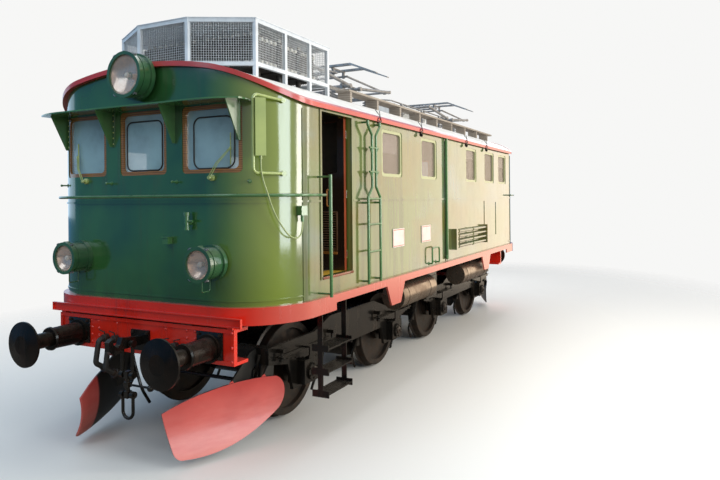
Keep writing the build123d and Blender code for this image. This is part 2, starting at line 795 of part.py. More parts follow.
with BuildPart() as plough_shell:
    for side in (1, -1):
        along = Vector(blade_angle.X, side * blade_angle.Y, 0).normalized()
        normal = Vector(along.Y, -along.X, 0) * side
        start = Vector(blade_front[0], side * blade_front[1], bow_height) - along * 250
        section = Plane(origin=start, x_dir=normal, z_dir=along)
        bow = blade_bow_radius
        with BuildSketch(section):
            with Locations((bow - bow_set_back, 0)):
                Circle(bow)
                Circle(bow - blade_thickness, mode=Mode.SUBTRACT)
            with Locations((bow, 0)):
                Rectangle(bow + 100, 3 * bow, align=(Align.MIN, Align.CENTER), mode=Mode.SUBTRACT)
        extrude(amount=blade_reach + 400)
    add(plough.part, mode=Mode.INTERSECT)
    add(plough_struts.part)
plough_shell.part.label = "plough_front"
export_step(plough_shell.part, "parts/plough_front.step")
rear_plough = plough_shell.part.rotate(Axis.Z, 180)
rear_plough.label = "plough_rear"
export_step(rear_plough, "parts/plough_rear.step")

# Heavy mass: transformer
with BuildPart() as transformer:
    with Locations((0, 0, body_bottom + 620)):
        Box(1400, 1200, 1240)
transformer.part.label = "transformer"
export_step(transformer.part, "parts/transformer.step")

# Panes in the window frames
with BuildPart() as window_glass:
    add(body_ring(-8 - frame_depth / 2, -8 - frame_depth / 2 - glass_thickness, body_bottom, roof_edge))
    add(window_prisms(frame_border + seat_gap), mode=Mode.INTERSECT)
window_glass.part.label = "window_glass"
export_step(window_glass.part, "parts/window_glass.step")

# Visors over the end windows, each on four gussets
canopy_reach = 250
canopy_bottom = 3346
canopy_thickness = 14
canopy_half_width = 1320
gusset_drop = 350
gusset_thickness = 12
gusset_places = [-1170, -425, 425, 1170]
with BuildPart() as canopies:
    add(body_ring(canopy_reach, seat_gap, canopy_bottom, canopy_bottom + canopy_thickness))
    with Locations((0, 0, canopy_bottom)):
        Box(2 * body_length, 2 * canopy_half_width, 200, mode=Mode.INTERSECT)
    with Locations((0, 0, canopy_bottom)):
        Box(2 * (panel_seam_x + 150), 2 * body_width, 220, mode=Mode.SUBTRACT)
    for sign in (1, -1):
        for y in gusset_places:
            bend = max(abs(y) - gusset_thickness / 2 - (body_width / 2 - corner_radius), 0)
            set_back = corner_radius - (corner_radius**2 - bend**2) ** 0.5
            root = body_length / 2 - set_back + seat_gap
            with BuildSketch(Plane.XZ.offset(-y - gusset_thickness / 2)):
                with BuildLine():
                    Polyline(
                        (sign * root, canopy_bottom),
                        (sign * (root + canopy_reach - 50), canopy_bottom),
                        (sign * (root + canopy_reach - 60), canopy_bottom - 20),
                        (sign * (root + 25), canopy_bottom - gusset_drop),
                        (sign * root, canopy_bottom - gusset_drop),
                        close=True,
                    )
                make_face()
            extrude(amount=gusset_thickness)
canopies.part.label = "visors"
export_step(canopies.part, "parts/visors.step")

# Handrails round both ends, belt bead, grab poles beside the doors
rail_radius = 15
rail_height = 2488
rail_stand_off = 75
rail_end_x = 3640
rail_post_radius = 10
bead_bottom = 2418
bead_height = 22
bead_proud = 12
pole_x = 3665
pole_y = body_width / 2 + 150
pole_bottom = 1475
pole_top = 2690
pole_radius = 17
half_length = body_length / 2
half_width = body_width / 2
with BuildPart() as handrails:
    for sign in (1, -1):
        out = half_width + rail_stand_off
        front = half_length + rail_stand_off
        bend = corner_radius + rail_stand_off
        with BuildLine():
            FilletPolyline(
                (sign * rail_end_x, out, rail_height),
                (sign * front, out, rail_height),
                (sign * front, -out, rail_height),
                (sign * rail_end_x, -out, rail_height),
                radius=bend,
            )
        with BuildSketch(Plane(origin=(sign * rail_end_x, out, rail_height), z_dir=(sign, 0, 0))):
            Circle(rail_radius)
        sweep()
        for y in (-700, 0, 700):
            with Locations((sign * (half_length + rail_stand_off / 2), y, rail_height)):
                Cylinder(rail_post_radius, rail_stand_off, rotation=(0, 90, 0))
        for side in (1, -1):
            with Locations((sign * (rail_end_x + 60), side * (half_width + rail_stand_off / 2), rail_height)):
                Cylinder(rail_post_radius, rail_stand_off, rotation=(90, 0, 0))
        with Locations((sign * pole_x, sign * pole_y, (pole_bottom + pole_top) / 2)):
            Cylinder(pole_radius, pole_top - pole_bottom)
        for z in (pole_bottom + 30, pole_top - 20):
            with Locations((sign * pole_x, sign * (half_width + pole_y) / 2, z)):
                Cylinder(rail_post_radius, pole_y - half_width, rotation=(90, 0, 0))
handrails.part.label = "handrails"
export_step(handrails.part, "parts/handrails.step")

strip_bottom = 1462
strip_top = 3330
strip_proud = 8
seam_strip_width = 60
centre_strip_width = 48
centre_strip_gap = 20
hatch_front = -1985
hatch_rear = -2780
hatch_bottom = 1690
hatch_top = 2380
hatch_border = 26
foot_bead_bottom = 1506
foot_bead_height = 14
with BuildPart() as strip_places:
    strip_middle = (strip_bottom + strip_top) / 2
    strip_length = strip_top - strip_bottom
    for sign in (1, -1):
        with Locations((sign * (panel_seam_x + 8), 0, strip_middle)):
            Box(seam_strip_width, 2 * body_width, strip_length)
        with Locations((sign * (centre_strip_width + centre_strip_gap) / 2, 0, strip_middle)):
            Box(centre_strip_width, 2 * body_width, strip_length)
        hatch_place = (sign * (hatch_front + hatch_rear) / 2, sign * body_width, (hatch_bottom + hatch_top) / 2)
        with Locations(hatch_place):
            Box(hatch_front - hatch_rear, body_width, hatch_top - hatch_bottom)
        with Locations(hatch_place):
            Box(
                hatch_front - hatch_rear - 2 * hatch_border,
                body_width,
                hatch_top - hatch_bottom - 2 * hatch_border,
                mode=Mode.SUBTRACT,
            )
with BuildPart() as foot_bead:
    add(body_ring(strip_proud, seat_gap, foot_bead_bottom, foot_bead_bottom + foot_bead_height))
    with Locations((0, 0, foot_bead_bottom)):
        Box(2 * (door_x + door_width / 2 + 100), 2 * body_width, 100, mode=Mode.SUBTRACT)
with BuildPart() as belt_bead:
    add(body_ring(strip_proud + seat_gap, seat_gap, strip_bottom, strip_top))
    add(strip_places.part, mode=Mode.INTERSECT)
    add(foot_bead.part)
    add(body_ring(bead_proud, seat_gap, bead_bottom, bead_bottom + bead_height))
    for sign in (1, -1):
        with Locations((sign * door_x, sign * half_width, bead_bottom + bead_height / 2)):
            Box(door_width + 2 * jamb_width + 2, 4 * bead_proud, 4 * bead_height, mode=Mode.SUBTRACT)
belt_bead.part.label = "belt_bead"
export_step(belt_bead.part, "parts/belt_bead.step")

# Headlamps: a large one on the roof edge and two lower ones, with glasses
lamp_height = 1865
lamp_y = 892
lamp_radius = 150
lamp_glass_radius = 132
lamp_length = 215
top_lamp_height = 3660
top_lamp_radius = 210
top_lamp_flange = 240
top_lamp_length = 180
top_lamp_back = half_length + rim_width
bail_drop = 105
bail_rod = 6
lamp_knuckle = 13
lamp_table = [
    # side offset, height, rear plane, barrel radius, length
    (-lamp_y, lamp_height, half_length, lamp_radius, lamp_length),
    (lamp_y, lamp_height, half_length, lamp_radius, lamp_length),
    (0, top_lamp_height, top_lamp_back, top_lamp_radius, top_lamp_length),
]
with BuildPart() as headlamps:
    for sign in (1, -1):
        for y, z, back, radius, length in lamp_table:
            with Locations((sign * (back + length / 2), y, z)):
                Cylinder(radius, length, rotation=(0, 90, 0))
            with Locations((sign * (back + length - 18), y, z)):
                Cylinder(radius + 14, 36, rotation=(0, 90, 0))
            with Locations((sign * (back + 20), y, z)):
                Cylinder(radius + 20, 40, rotation=(0, 90, 0))
            with Locations((sign * (back + length - 70), y, z)):
                Cylinder(radius + 7, 16, rotation=(0, 90, 0))
            with Locations((sign * (back + length - 40), y, z + radius + 8)):
                Cylinder(lamp_knuckle, 60, rotation=(0, 90, 0))
            with Locations((sign * (back + length - 40), y, z)):
                Cylinder(radius - 18, 80.1, rotation=(0, 90, 0), mode=Mode.SUBTRACT)
            if y != 0:
                bail_x = sign * (back + 50)
                bail_end_x = sign * (back + 150)
                with BuildLine():
                    FilletPolyline(
                        (bail_x, y, z - radius + 10),
                        (bail_x, y, z - radius - bail_drop),
                        (bail_end_x, y, z - radius - bail_drop),
                        (bail_end_x, y, z - radius + 10),
                        radius=18,
                    )
                with BuildSketch(Plane(origin=(bail_x, y, z - radius + 10), z_dir=(0, 0, -1))):
                    Circle(bail_rod)
                sweep()
headlamps.part.label = "headlamps"
export_step(headlamps.part, "parts/headlamps.step")

with BuildPart() as lamp_glass:
    for sign in (1, -1):
        for y, z, back, radius, length in lamp_table:
            with Locations((sign * (back + length - 20), y, z)):
                Cylinder(radius - 18 - seat_gap, 8, rotation=(0, 90, 0))
lamp_glass.part.label = "lamp_glasses"
export_step(lamp_glass.part, "parts/lamp_glasses.step")

# Corner bracket of bent pipe with a slim terminal box on it
bracket_pipe = 14
pipe_x = 4445
pipe_y = 1372
pipe_top = 3400
pipe_bottom = 2690
pipe_foot_angle = radians(59)
pipe_foot_radius = 24
pipe_foot_height = 34
box_width = 95
box_depth = 80
corner_box_bottom = 2843
corner_box_top = 3362
corner_x = half_length - corner_radius
corner_y = half_width - corner_radius
foot_reach = corner_radius + seat_gap + pipe_foot_height / 2
pipe_wall_x = corner_x + foot_reach * cos(pipe_foot_angle)
pipe_wall_y = corner_y + foot_reach * sin(pipe_foot_angle)
gland_radius = 13
gland_length = 28
cable_start = (4392, 1413)
with BuildPart() as corner_boxes:
    for sign in (1, -1):
        for z in (pipe_bottom, pipe_top - 25):
            foot = Plane(
                origin=(sign * pipe_wall_x, sign * pipe_wall_y, z),
                z_dir=(sign * cos(pipe_foot_angle), sign * sin(pipe_foot_angle), 0),
            )
            with Locations(foot):
                Cylinder(pipe_foot_radius, pipe_foot_height)
        if sign > 0:
            with Locations((*cable_start, corner_box_bottom - gland_length / 2)):
                Cylinder(gland_radius, gland_length)
        with BuildLine():
            FilletPolyline(
                (sign * pipe_wall_x, sign * pipe_wall_y, pipe_top - 25),
                (sign * pipe_x, sign * pipe_y, pipe_top),
                (sign * pipe_x, sign * pipe_y, pipe_bottom),
                (sign * pipe_wall_x, sign * pipe_wall_y, pipe_bottom),
                radius=45,
            )
        start = Vector(sign * pipe_wall_x, sign * pipe_wall_y, pipe_top - 25)
        toward = Vector(sign * pipe_x, sign * pipe_y, pipe_top) - start
        with BuildSketch(Plane(origin=start, z_dir=toward)):
            Circle(bracket_pipe)
        sweep()
        with Locations(
            (sign * (pipe_x - 50), sign * (pipe_y + 35), (corner_box_bottom + corner_box_top) / 2)
        ):
            Box(box_width, box_depth, corner_box_top - corner_box_bottom, rotation=(0, 0, -40))
corner_boxes.part.label = "corner_boxes"
export_step(corner_boxes.part, "parts/corner_boxes.step")

# Wall socket and the loose cable that hangs from the terminal box to it
cable_radius = 7
socket_angle = radians(74.7)
socket_width = 70
socket_depth = 78
socket_height = 90
front_box_y = 350
front_box_height = 2060
valve_y = 620
valve_height = 2230
plug_radius = 17
plug_length = 60
cable_points = [
    (*cable_start, corner_box_bottom - gland_length),
    (*cable_start, 2720),
    (4370, 1425, 2610),
    (4334, 1444, 2500),
    (4299, 1457, 2390),
    (4256, 1481, 2283),
    (4198, 1511, 2180),
    (4133, 1537, 2103),
    (4062, 1553, 2078),
    (3998, 1563, 2100),
    (3970, 1567, 2165),
    (3970, 1567, 2235),
]
socket_plane = Plane(
    origin=(
        corner_x + (corner_radius + seat_gap) * cos(socket_angle),
        corner_y + (corner_radius + seat_gap) * sin(socket_angle),
        cable_points[-1][2] + plug_length + socket_height / 2,
    ),
    x_dir=(0, 0, 1),
    z_dir=(cos(socket_angle), sin(socket_angle), 0),
)
with BuildPart() as cable_socket:
    with Locations(socket_plane):
        Box(socket_height, socket_width, socket_depth, align=(Align.CENTER, Align.CENTER, Align.MIN))
    with Locations((*cable_points[-1][:2], cable_points[-1][2] + plug_length / 2)):
        Cylinder(plug_radius, plug_length)
    for sign in (1, -1):
        wall_x = sign * (half_length + seat_gap)
        with Locations((wall_x + sign * 30, sign * front_box_y, front_box_height)):
            Box(60, 70, 60)
        with Locations((wall_x + sign * 35, sign * front_box_y, front_box_height + 34)):
            Box(70, 80, 10)
        with Locations((wall_x + sign * 25, sign * valve_y, valve_height)):
            Cylinder(16, 50, rotation=(0, 90, 0))
        with Locations((wall_x + sign * 50, sign * valve_y, valve_height + 20)):
            Cylinder(20, 150)
        with Locations((wall_x + sign * 50, sign * valve_y, valve_height + 90)):
            Cylinder(28, 30)
        with Locations((wall_x + sign * 50, sign * valve_y, valve_height - 50)):
            Cylinder(26, 24)
        with Locations((wall_x + sign * 50, sign * (valve_y + 35), valve_height + 20)):
            Cylinder(12, 70, rotation=(90, 0, 0))
cable_socket.part.label = "cable_socket"
export_step(cable_socket.part, "parts/cable_socket.step")

cable_vectors = [Vector(*point) for point in cable_points]
cable_radii = []
for before, here, after in zip(cable_vectors, cable_vectors[1:], cable_vectors[2:]):
    run = min((here - before).length, (after - here).length)
    turn = (here - before).get_angle(after - here)
    cable_radii.append(0.45 * run / tan(radians(turn / 2)))
print("cable radii", [round(value) for value in cable_radii])
with BuildPart() as lamp_cable:
    with BuildLine() as cable_line:
        FilletPolyline(*cable_points, radius=cable_radii)
    with BuildSketch(Plane(origin=cable_vectors[0], z_dir=cable_vectors[1] - cable_vectors[0])):
        Circle(cable_radius)
    sweep()
cable_length = cable_line.wires()[0].length
tube_volume = cable_length * pi * cable_radius**2
print("cable length", round(cable_length), "volume share", round(lamp_cable.part.volume / tube_volume, 4))
lamp_cable.part.label = "lamp_cable"
export_step(lamp_cable.part, "parts/lamp_cable.step")

# Roof ladders: two bent stiles, rungs and step brackets
ladder_x = 2580
ladder_y = half_width + 75
ladder_tube = 16
ladder_waist = 48
ladder_spread = 150
ladder_bottom = 1475
ladder_outline = [
    # half width, height
    (ladder_spread, ladder_bottom),
    (ladder_spread, 2465),
    (ladder_waist, 2580),
    (ladder_waist, 3180),
    (ladder_spread, 3290),
    (ladder_spread, 3340),
]
rung_heights = [1837, 2150, 2445]
step_heights = [2756, 3035]
ladder_step_half = 110
with BuildPart() as ladders:
    for sign in (1, -1):
        for edge in (1, -1):
            with BuildLine():
                FilletPolyline(
                    *[(sign * ladder_x + edge * w, sign * ladder_y, z) for w, z in ladder_outline],
                    radius=30,
                )
            with BuildSketch(
                Plane(origin=(sign * ladder_x + edge * ladder_spread, sign * ladder_y, ladder_bottom))
            ):
                Circle(ladder_tube)
            sweep()
            for z in (ladder_bottom + 30, 2400, 3318):
                with Locations((sign * ladder_x + edge * ladder_spread, sign * (half_width + 37), z)):
                    Cylinder(ladder_tube - 4, 74, rotation=(90, 0, 0))
        for z in rung_heights:
            with Locations((sign * ladder_x, sign * ladder_y, z)):
                Cylinder(ladder_tube - 4, 2 * ladder_spread, rotation=(0, 90, 0))
        for z in step_heights:
            with Locations((sign * ladder_x, sign * ladder_y, z)):
                Cylinder(ladder_tube - 4, 2 * ladder_step_half, rotation=(0, 90, 0))
            for edge in (1, -1):
                brace = Plane(
                    origin=(sign * ladder_x + edge * (ladder_step_half - 10), sign * ladder_y, z),
                    z_dir=(-edge, 0, -1.6),
                )
                with BuildSketch(brace):
                    Circle(8)
                extrude(amount=100)
ladders.part.label = "roof_ladders"
export_step(ladders.part, "parts/roof_ladders.step")

# Entry steps below each door
step_x = 3270
step_width = 480
step_depth = 200
step_plate = 12
step_y = 1460
tread_heights = [440, 670, 910]
with BuildPart() as entry_steps:
    for sign in (1, -1):
        for edge in (1, -1):
            with Locations((sign * (step_x + edge * step_width / 2), sign * step_y, (420 + skirt_bottom) / 2)):
                Box(step_plate, 60, skirt_bottom - 420)
            for z in tread_heights:
                with Locations((sign * (step_x + edge * step_width / 2), sign * step_y, z)):
                    Box(step_plate, step_depth, 70)
        for z in tread_heights:
            with Locations((sign * step_x, sign * step_y, z)):
                Box(step_width, step_depth, step_plate)
entry_steps.part.label = "entry_steps"
export_step(entry_steps.part, "parts/entry_steps.step")

# Roof cage over the starting resistors, with the grids inside
cage_outline = [
    # place along the roof, half width
    (4160, 330),
    (3845, 930),
    (3345, 930),
    (2870, 930),
    (2480, 930),
]
cage_top = 4290
cage_post = 40
cage_foot = 3700
cage_sheet = 6
cage_rail_heights = (3830, cage_top - cage_post / 2)
panel_sheet = 4


def cage_plan(grow, bottom, top):
    # Solid in the plan of the cage, grown by grow
    front, shoulder = cage_outline[:2]
    back = cage_outline[-1]
    with BuildPart() as plan:
        with BuildSketch(Plane.XY.offset(bottom)):
            with BuildLine():
                Polyline(
                    front,
                    shoulder,
                    back,
                    (back[0], -back[1]),
                    (shoulder[0], -shoulder[1]),
                    (front[0], -front[1]),
                    close=True,
                )
            make_face()
            offset(amount=grow, kind=Kind.INTERSECTION)
        extrude(amount=top - bottom)
    return plan.part


with BuildPart() as resistor_cage:
    for x, y in cage_outline:
        for side in (1, -1):
            with Locations((x, side * y, (cage_foot + cage_top) / 2)):
                Box(cage_post, cage_post, cage_top - cage_foot)
    for z in cage_rail_heights:
        rail = cage_plan(cage_post / 2, z - cage_post / 2, z + cage_post / 2)
        add(rail - cage_plan(-cage_post / 2, z - cage_post, z + cage_post))
    add(cage_plan(cage_post / 2 + 8, cage_top, cage_top + cage_sheet))
    add(under_arch(0, 0), mode=Mode.SUBTRACT)
resistor_cage.part.label = "resistor_cage"
export_step(resistor_cage.part, "parts/resistor_cage.step")

# Mesh panels of the cage, as thin sheets between the posts
panel_bottom = cage_rail_heights[0] + cage_post / 2 + seat_gap
panel_top = cage_rail_heights[1] - cage_post / 2 - seat_gap
with BuildPart() as cage_panels:
    add(cage_plan(panel_sheet / 2, panel_bottom, panel_top))
    add(cage_plan(-panel_sheet / 2, panel_bottom - 10, panel_top + 10), mode=Mode.SUBTRACT)
    for x, y in cage_outline:
        for side in (1, -1):
            with Locations((x, side * y, (panel_bottom + panel_top) / 2)):
                Box(cage_post + 2 * seat_gap, cage_post + 2 * seat_gap, panel_top - panel_bottom + 20, mode=Mode.SUBTRACT)
cage_panels.part.label = "cage_panels"
export_step(cage_panels.part, "parts/cage_panels.step")

bank_places = [2760, 3140, 3520]
with BuildPart() as resistor_banks:
    for x in bank_places:
        for y in (-440, 440):
            with Locations((x, y, 4020)):
                Box(300, 760, 340)
        for y in (-700, -180, 180, 700):
            with Locations((x, y, (roof_shoulder + 3850) / 2)):
                Cylinder(30, 3850 - roof_shoulder + 100)
    add(under_arch(0, 0), mode=Mode.SUBTRACT)
resistor_banks.part.label = "resistor_banks"
export_step(resistor_banks.part, "parts/resistor_banks.step")

# Boards to walk on along both edges of the roof
walk_y = 1000
walk_width = 200
walk_bottom = 3790
walk_thickness = 28
walk_front = 2230
walk_rear = -4050
walk_pitch = 740
with BuildPart() as walkways:
    for side in (1, -1):
        with Locations(((walk_front + walk_rear) / 2, side * walk_y, walk_bottom + walk_thickness / 2)):
            Box(walk_front - walk_rear, walk_width, walk_thickness)
        for n in range(9):
            with Locations((walk_front - 60 - n * walk_pitch, side * walk_y, walk_bottom - 100)):
                Box(50, walk_width - 20, 200)
    add(under_arch(0, 0), mode=Mode.SUBTRACT)
walkways.part.label = "roof_walkways"
export_step(walkways.part, "parts/roof_walkways.step")

# Low hooded box between the pantographs
roof_box_x = -1000
roof_box_length = 1180
roof_box_half_width = 560
roof_box_top = 4060
louvre_bottom = 3830
louvre_top = 3950
louvre_count = 4
louvre_depth = 24
with BuildPart() as roof_box:
    with Locations((roof_box_x, 0, (roof_edge + roof_box_top) / 2)):
        Box(roof_box_length, 2 * roof_box_half_width, roof_box_top - roof_edge)
    add(under_arch(0, 0), mode=Mode.SUBTRACT)
    edges = roof_box.edges().filter_by(Axis.X).sort_by(Axis.Z)[-2:]
    chamfer(edges, 90)
    for side in (1, -1):
        louvre_middle = (louvre_bottom + louvre_top) / 2
        with Locations((roof_box_x, side * roof_box_half_width, louvre_middle)):
            Box(roof_box_length - 120, 2 * louvre_depth, louvre_top - louvre_bottom, mode=Mode.SUBTRACT)
        for n in range(louvre_count):
            z = louvre_bottom + (n + 0.5) * (louvre_top - louvre_bottom) / louvre_count
            with Locations((roof_box_x, side * (roof_box_half_width - louvre_depth / 2), z)):
                Box(roof_box_length - 120, louvre_depth + 4, 6, rotation=(side * 35, 0, 0))
roof_box.part.label = "roof_box"
export_step(roof_box.part, "parts/roof_box.step")

# Pantographs: base frame on insulators, two lower arms, two upper arms, head
lift = arm_length * sin(radians(fold_angle))
reach = arm_length * cos(radians(fold_angle))
knee_height = pivot_height + lift
head_height = pivot_height + 2 * lift
shaft_radius = 26
knee_shaft_radius = 18
head_shaft_radius = 16
pin_fit = 0.6
base_rail_y = 400
base_half_length = 640
base_rail = 50
insulator_radius = 62
insulator_sheds = 4
conductor_y = 720
conductor_height = 3990
conductor_radius = 11
conductor_posts = [-150, -1000, -1850]
base_rail_z = pivot_height - 70
with BuildPart() as pantograph_bases:
    for name, x in pantograph_places:
        for side in (1, -1):
            with Locations((x, side * base_rail_y, base_rail_z)):
                Box(2 * base_half_length, base_rail, base_rail)
            for end in (1, -1):
                pivot_x = x + end * pivot_spacing / 2
                with Locations((pivot_x, side * base_rail_y, pivot_height - 10)):
                    Box(90, 40, 100)
                with Locations((pivot_x, side * base_rail_y, pivot_height)):
                    Cylinder(shaft_radius + pin_fit, 60, rotation=(90, 0, 0), mode=Mode.SUBTRACT)
                with Locations((x + end * (base_half_length - 60), side * base_rail_y, 0)):
                    with Locations((0, 0, (roof_shoulder + base_rail_z - 25) / 2)):
                        Cylinder(32, base_rail_z - 25 - roof_shoulder)
                    for shed in range(insulator_sheds):
                        with Locations((0, 0, 3825 + 38 * shed)):
                            Cylinder(insulator_radius, 14)
        for end in (1, -1):
            with Locations((x + end * (base_half_length - 25), 0, base_rail_z)):
                Box(base_rail, 2 * base_rail_y, base_rail)
    conductor_ends = (pantograph_places[0][1] - base_half_length + 20, pantograph_places[1][1] + base_half_length - 20)
    with BuildLine():
        FilletPolyline(
            (conductor_ends[0], base_rail_y, base_rail_z),
            (conductor_ends[0] - 160, conductor_y, conductor_height),
            (conductor_ends[1] + 160, conductor_y, conductor_height),
            (conductor_ends[1], base_rail_y, base_rail_z),
            radius=60,
        )
    bend = Vector(-160, conductor_y - base_rail_y, conductor_height - base_rail_z)
    with BuildSketch(Plane(origin=(conductor_ends[0], base_rail_y, base_rail_z), z_dir=bend)):
        Circle(conductor_radius)
    sweep()
    for x in conductor_posts:
        with Locations((x, conductor_y, (roof_shoulder + conductor_height) / 2)):
            Cylinder(26, conductor_height - roof_shoulder)
        for shed in range(insulator_sheds):
            with Locations((x, conductor_y, 3825 + 38 * shed)):
                Cylinder(insulator_radius - 10, 14)
    add(under_arch(0, 0), mode=Mode.SUBTRACT)
pantograph_bases.part.label = "pantograph_bases"
export_step(pantograph_bases.part, "parts/pantograph_bases.step")

for name, centre in pantograph_places:
    for letter, end in (("a", 1), ("b", -1)):
        base_x = centre + end * pivot_spacing / 2
        knee_x = base_x + end * reach
        with BuildPart() as lower_arm:
            with Locations((base_x, 0, pivot_height)):
                Cylinder(shaft_radius, 2 * lower_arm_y, rotation=(90, 0, 0))
            with Locations((knee_x, 0, knee_height)):
                Cylinder(knee_shaft_radius, 2 * lower_arm_y, rotation=(90, 0, 0))
            for side in (1, -1):
                arm = Plane(
                    origin=(base_x, side * lower_arm_y, pivot_height),
                    z_dir=(knee_x - base_x, 0, knee_height - pivot_height),
                )
                with BuildSketch(arm):
                    Circle(arm_tube)
                extrude(amount=arm_length)
                for px, pz, radius in ((base_x, pivot_height, 34), (knee_x, knee_height, 28)):
                    with Locations((px, side * lower_arm_y, pz)):
                        Cylinder(radius, 2 * arm_tube, rotation=(90, 0, 0))
        lower_arm.part.label = f"pantograph_{name}_lower_{letter}"
        export_step(lower_arm.part, f"parts/pantograph_{name}_lower_{letter}.step")

        with BuildPart() as upper_arm:
            for side in (1, -1):
                start = Vector(knee_x, side * knee_y, knee_height)
                finish = Vector(base_x, side * head_pivot_y, head_height)
                with BuildSketch(Plane(origin=start, z_dir=finish - start)):
                    Circle(arm_tube - 8)
                extrude(amount=(finish - start).length)
                with Locations((knee_x, side * knee_y, knee_height)):
                    Cylinder(30, 44, rotation=(90, 0, 0))
            with Locations((base_x, 0, head_height)):
                Cylinder(head_shaft_radius, 2 * head_pivot_y + 20, rotation=(90, 0, 0))
            with Locations((knee_x, 0, knee_height)):
                Cylinder(knee_shaft_radius + pin_fit, 2 * lower_arm_y, rotation=(90, 0, 0), mode=Mode.SUBTRACT)
        upper_arm.part.label = f"pantograph_{name}_upper_{letter}"
        export_step(upper_arm.part, f"parts/pantograph_{name}_upper_{letter}.step")

    pan_height = head_height + 110
    pan_half = 560
    horn_half = 975
    horn_drop = 170
    with BuildPart() as head:
        for end in (1, -1):
            with BuildSketch(Plane.YZ.offset(centre + end * pan_spacing / 2 - 28)):
                with BuildLine():
                    Polyline(
                        (-horn_half, pan_height - horn_drop),
                        (-pan_half, pan_height),
                        (pan_half, pan_height),
                        (horn_half, pan_height - horn_drop),
                        (horn_half, pan_height - horn_drop - 16),
                        (pan_half, pan_height - 30),
                        (-pan_half, pan_height - 30),
                        (-horn_half, pan_height - horn_drop - 16),
                        close=True,
                    )
                make_face()
            extrude(amount=56)
            for side in (1, -1):
                with Locations((centre + end * pivot_spacing / 2, side * 240, head_height)):
                    Cylinder(30, 30, rotation=(90, 0, 0))
                with Locations((centre + end * pivot_spacing / 2, side * 240, (head_height + pan_height) / 2)):
                    Box(36, 30, pan_height - head_height - 30)
        for side in (1, -1):
            with Locations((centre, side * 240, pan_height - 40)):
                Box(pan_spacing, 30, 22)
        for end in (1, -1):
            with Locations((centre + end * pivot_spacing / 2, 0, head_height)):
                Cylinder(head_shaft_radius + pin_fit, 600, rotation=(90, 0, 0), mode=Mode.SUBTRACT)
    head.part.label = f"pantograph_{name}_head"
    export_step(head.part, f"parts/pantograph_{name}_head.step")

# Cab furniture: desk and seat in each cab
desk_front = half_length - wall
desk_depth = 380
desk_half_width = 880
desk_height = 800
seat_x = 3480
seat_y = -560
with BuildPart() as cab_fittings:
    for sign in (1, -1):
        with Locations((sign * (desk_front - desk_depth / 2), 0, door_bottom + desk_height / 2)):
            Box(desk_depth, 2 * desk_half_width, desk_height)
        with Locations((sign * seat_x, sign * seat_y, door_bottom + 220)):
            Cylinder(40, 440)
        with Locations((sign * seat_x, sign * seat_y, door_bottom + 480)):
            Box(420, 440, 90)
        with Locations((sign * (seat_x - 200), sign * seat_y, door_bottom + 760)):
            Box(70, 420, 480)
cab_fittings.part.label = "cab_desks_and_seats"
export_step(cab_fittings.part, "parts/cab_desks_and_seats.step")

# Air tanks hung in straps, and the pipe cooler on the side
tank_table = [
    # front end, rear end, side
    (1540, 380, 1),
    (-920, -2330, 1),
    (-380, -1540, -1),
    (2330, 920, -1),
]
tank_y = 1350
tank_radius = 170
tank_height = 1128
with BuildPart() as air_tanks:
    for front, rear, side in tank_table:
        middle = (front + rear) / 2
        with Locations((middle, side * tank_y, tank_height)):
            Cylinder(tank_radius, front - rear, rotation=(0, 90, 0))
        for x in (front - 200, rear + 200):
            with Locations((x, side * tank_y, tank_height)):
                Cylinder(tank_radius + 5, 50, rotation=(0, 90, 0))
            with Locations((x, side * tank_y, (tank_height + tank_radius + skirt_bottom) / 2)):
                Box(50, 60, skirt_bottom - tank_height - tank_radius)
            with Locations((x, side * (half_width - skirt_inset + 20), skirt_bottom - 10)):
                Box(50, 120, 20)
            with Locations((x, side * (tank_y + 60), skirt_bottom - 10)):
                Box(50, 160, 20)
air_tanks.part.label = "air_tanks"
export_step(air_tanks.part, "parts/air_tanks.step")

cooler_front = -245
cooler_rear = -1930
cooler_heights = [1665, 1745, 1825, 1905]
with BuildPart() as cooler:
    for sign in (1, -1):
        for z in cooler_heights:
            with Locations((sign * (cooler_front + cooler_rear) / 2, sign * (half_width + 60), z)):
                Cylinder(22, cooler_front - cooler_rear, rotation=(0, 90, 0))
        for x in (cooler_front, cooler_rear):
            with Locations((sign * x, sign * (half_width + 45), (cooler_heights[0] + cooler_heights[-1]) / 2)):
                Box(70, 90, 330)
cooler.part.label = "cooler_pipes"
export_step(cooler.part, "parts/cooler_pipes.step")
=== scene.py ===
# %% [markdown]
# # Dressing an electric locomotive
#
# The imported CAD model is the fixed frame: every sheet, wheel and arm is in its place, in metres.
# This lesson gives the parts their paint and metal, adds small things that the CAD model leaves
# out, such as rivets, wipers and mesh, and sets up a camera, lamps and a floor.

# %% Load the frame
from math import atan2, cos, pi, radians, sin, sqrt

import bmesh
import bpy
from mathutils import Matrix, Vector


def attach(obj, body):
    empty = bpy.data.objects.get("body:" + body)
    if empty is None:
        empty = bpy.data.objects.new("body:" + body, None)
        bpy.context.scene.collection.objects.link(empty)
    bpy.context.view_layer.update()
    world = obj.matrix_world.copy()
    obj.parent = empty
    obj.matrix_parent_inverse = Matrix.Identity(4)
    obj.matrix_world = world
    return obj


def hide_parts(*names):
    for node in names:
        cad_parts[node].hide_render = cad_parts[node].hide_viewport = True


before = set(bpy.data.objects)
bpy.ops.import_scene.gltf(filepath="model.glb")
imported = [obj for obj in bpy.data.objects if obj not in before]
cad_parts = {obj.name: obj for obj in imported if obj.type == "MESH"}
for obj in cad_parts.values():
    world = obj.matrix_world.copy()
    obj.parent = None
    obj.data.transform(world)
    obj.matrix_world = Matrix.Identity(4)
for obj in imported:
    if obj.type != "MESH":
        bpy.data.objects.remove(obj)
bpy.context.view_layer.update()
scene = bpy.context.scene


# %% Places and new objects
def at(x, y, z):
    return Matrix.Translation((x, y, z))


def spun(angle, axis):
    return Matrix.Rotation(angle, 4, axis)


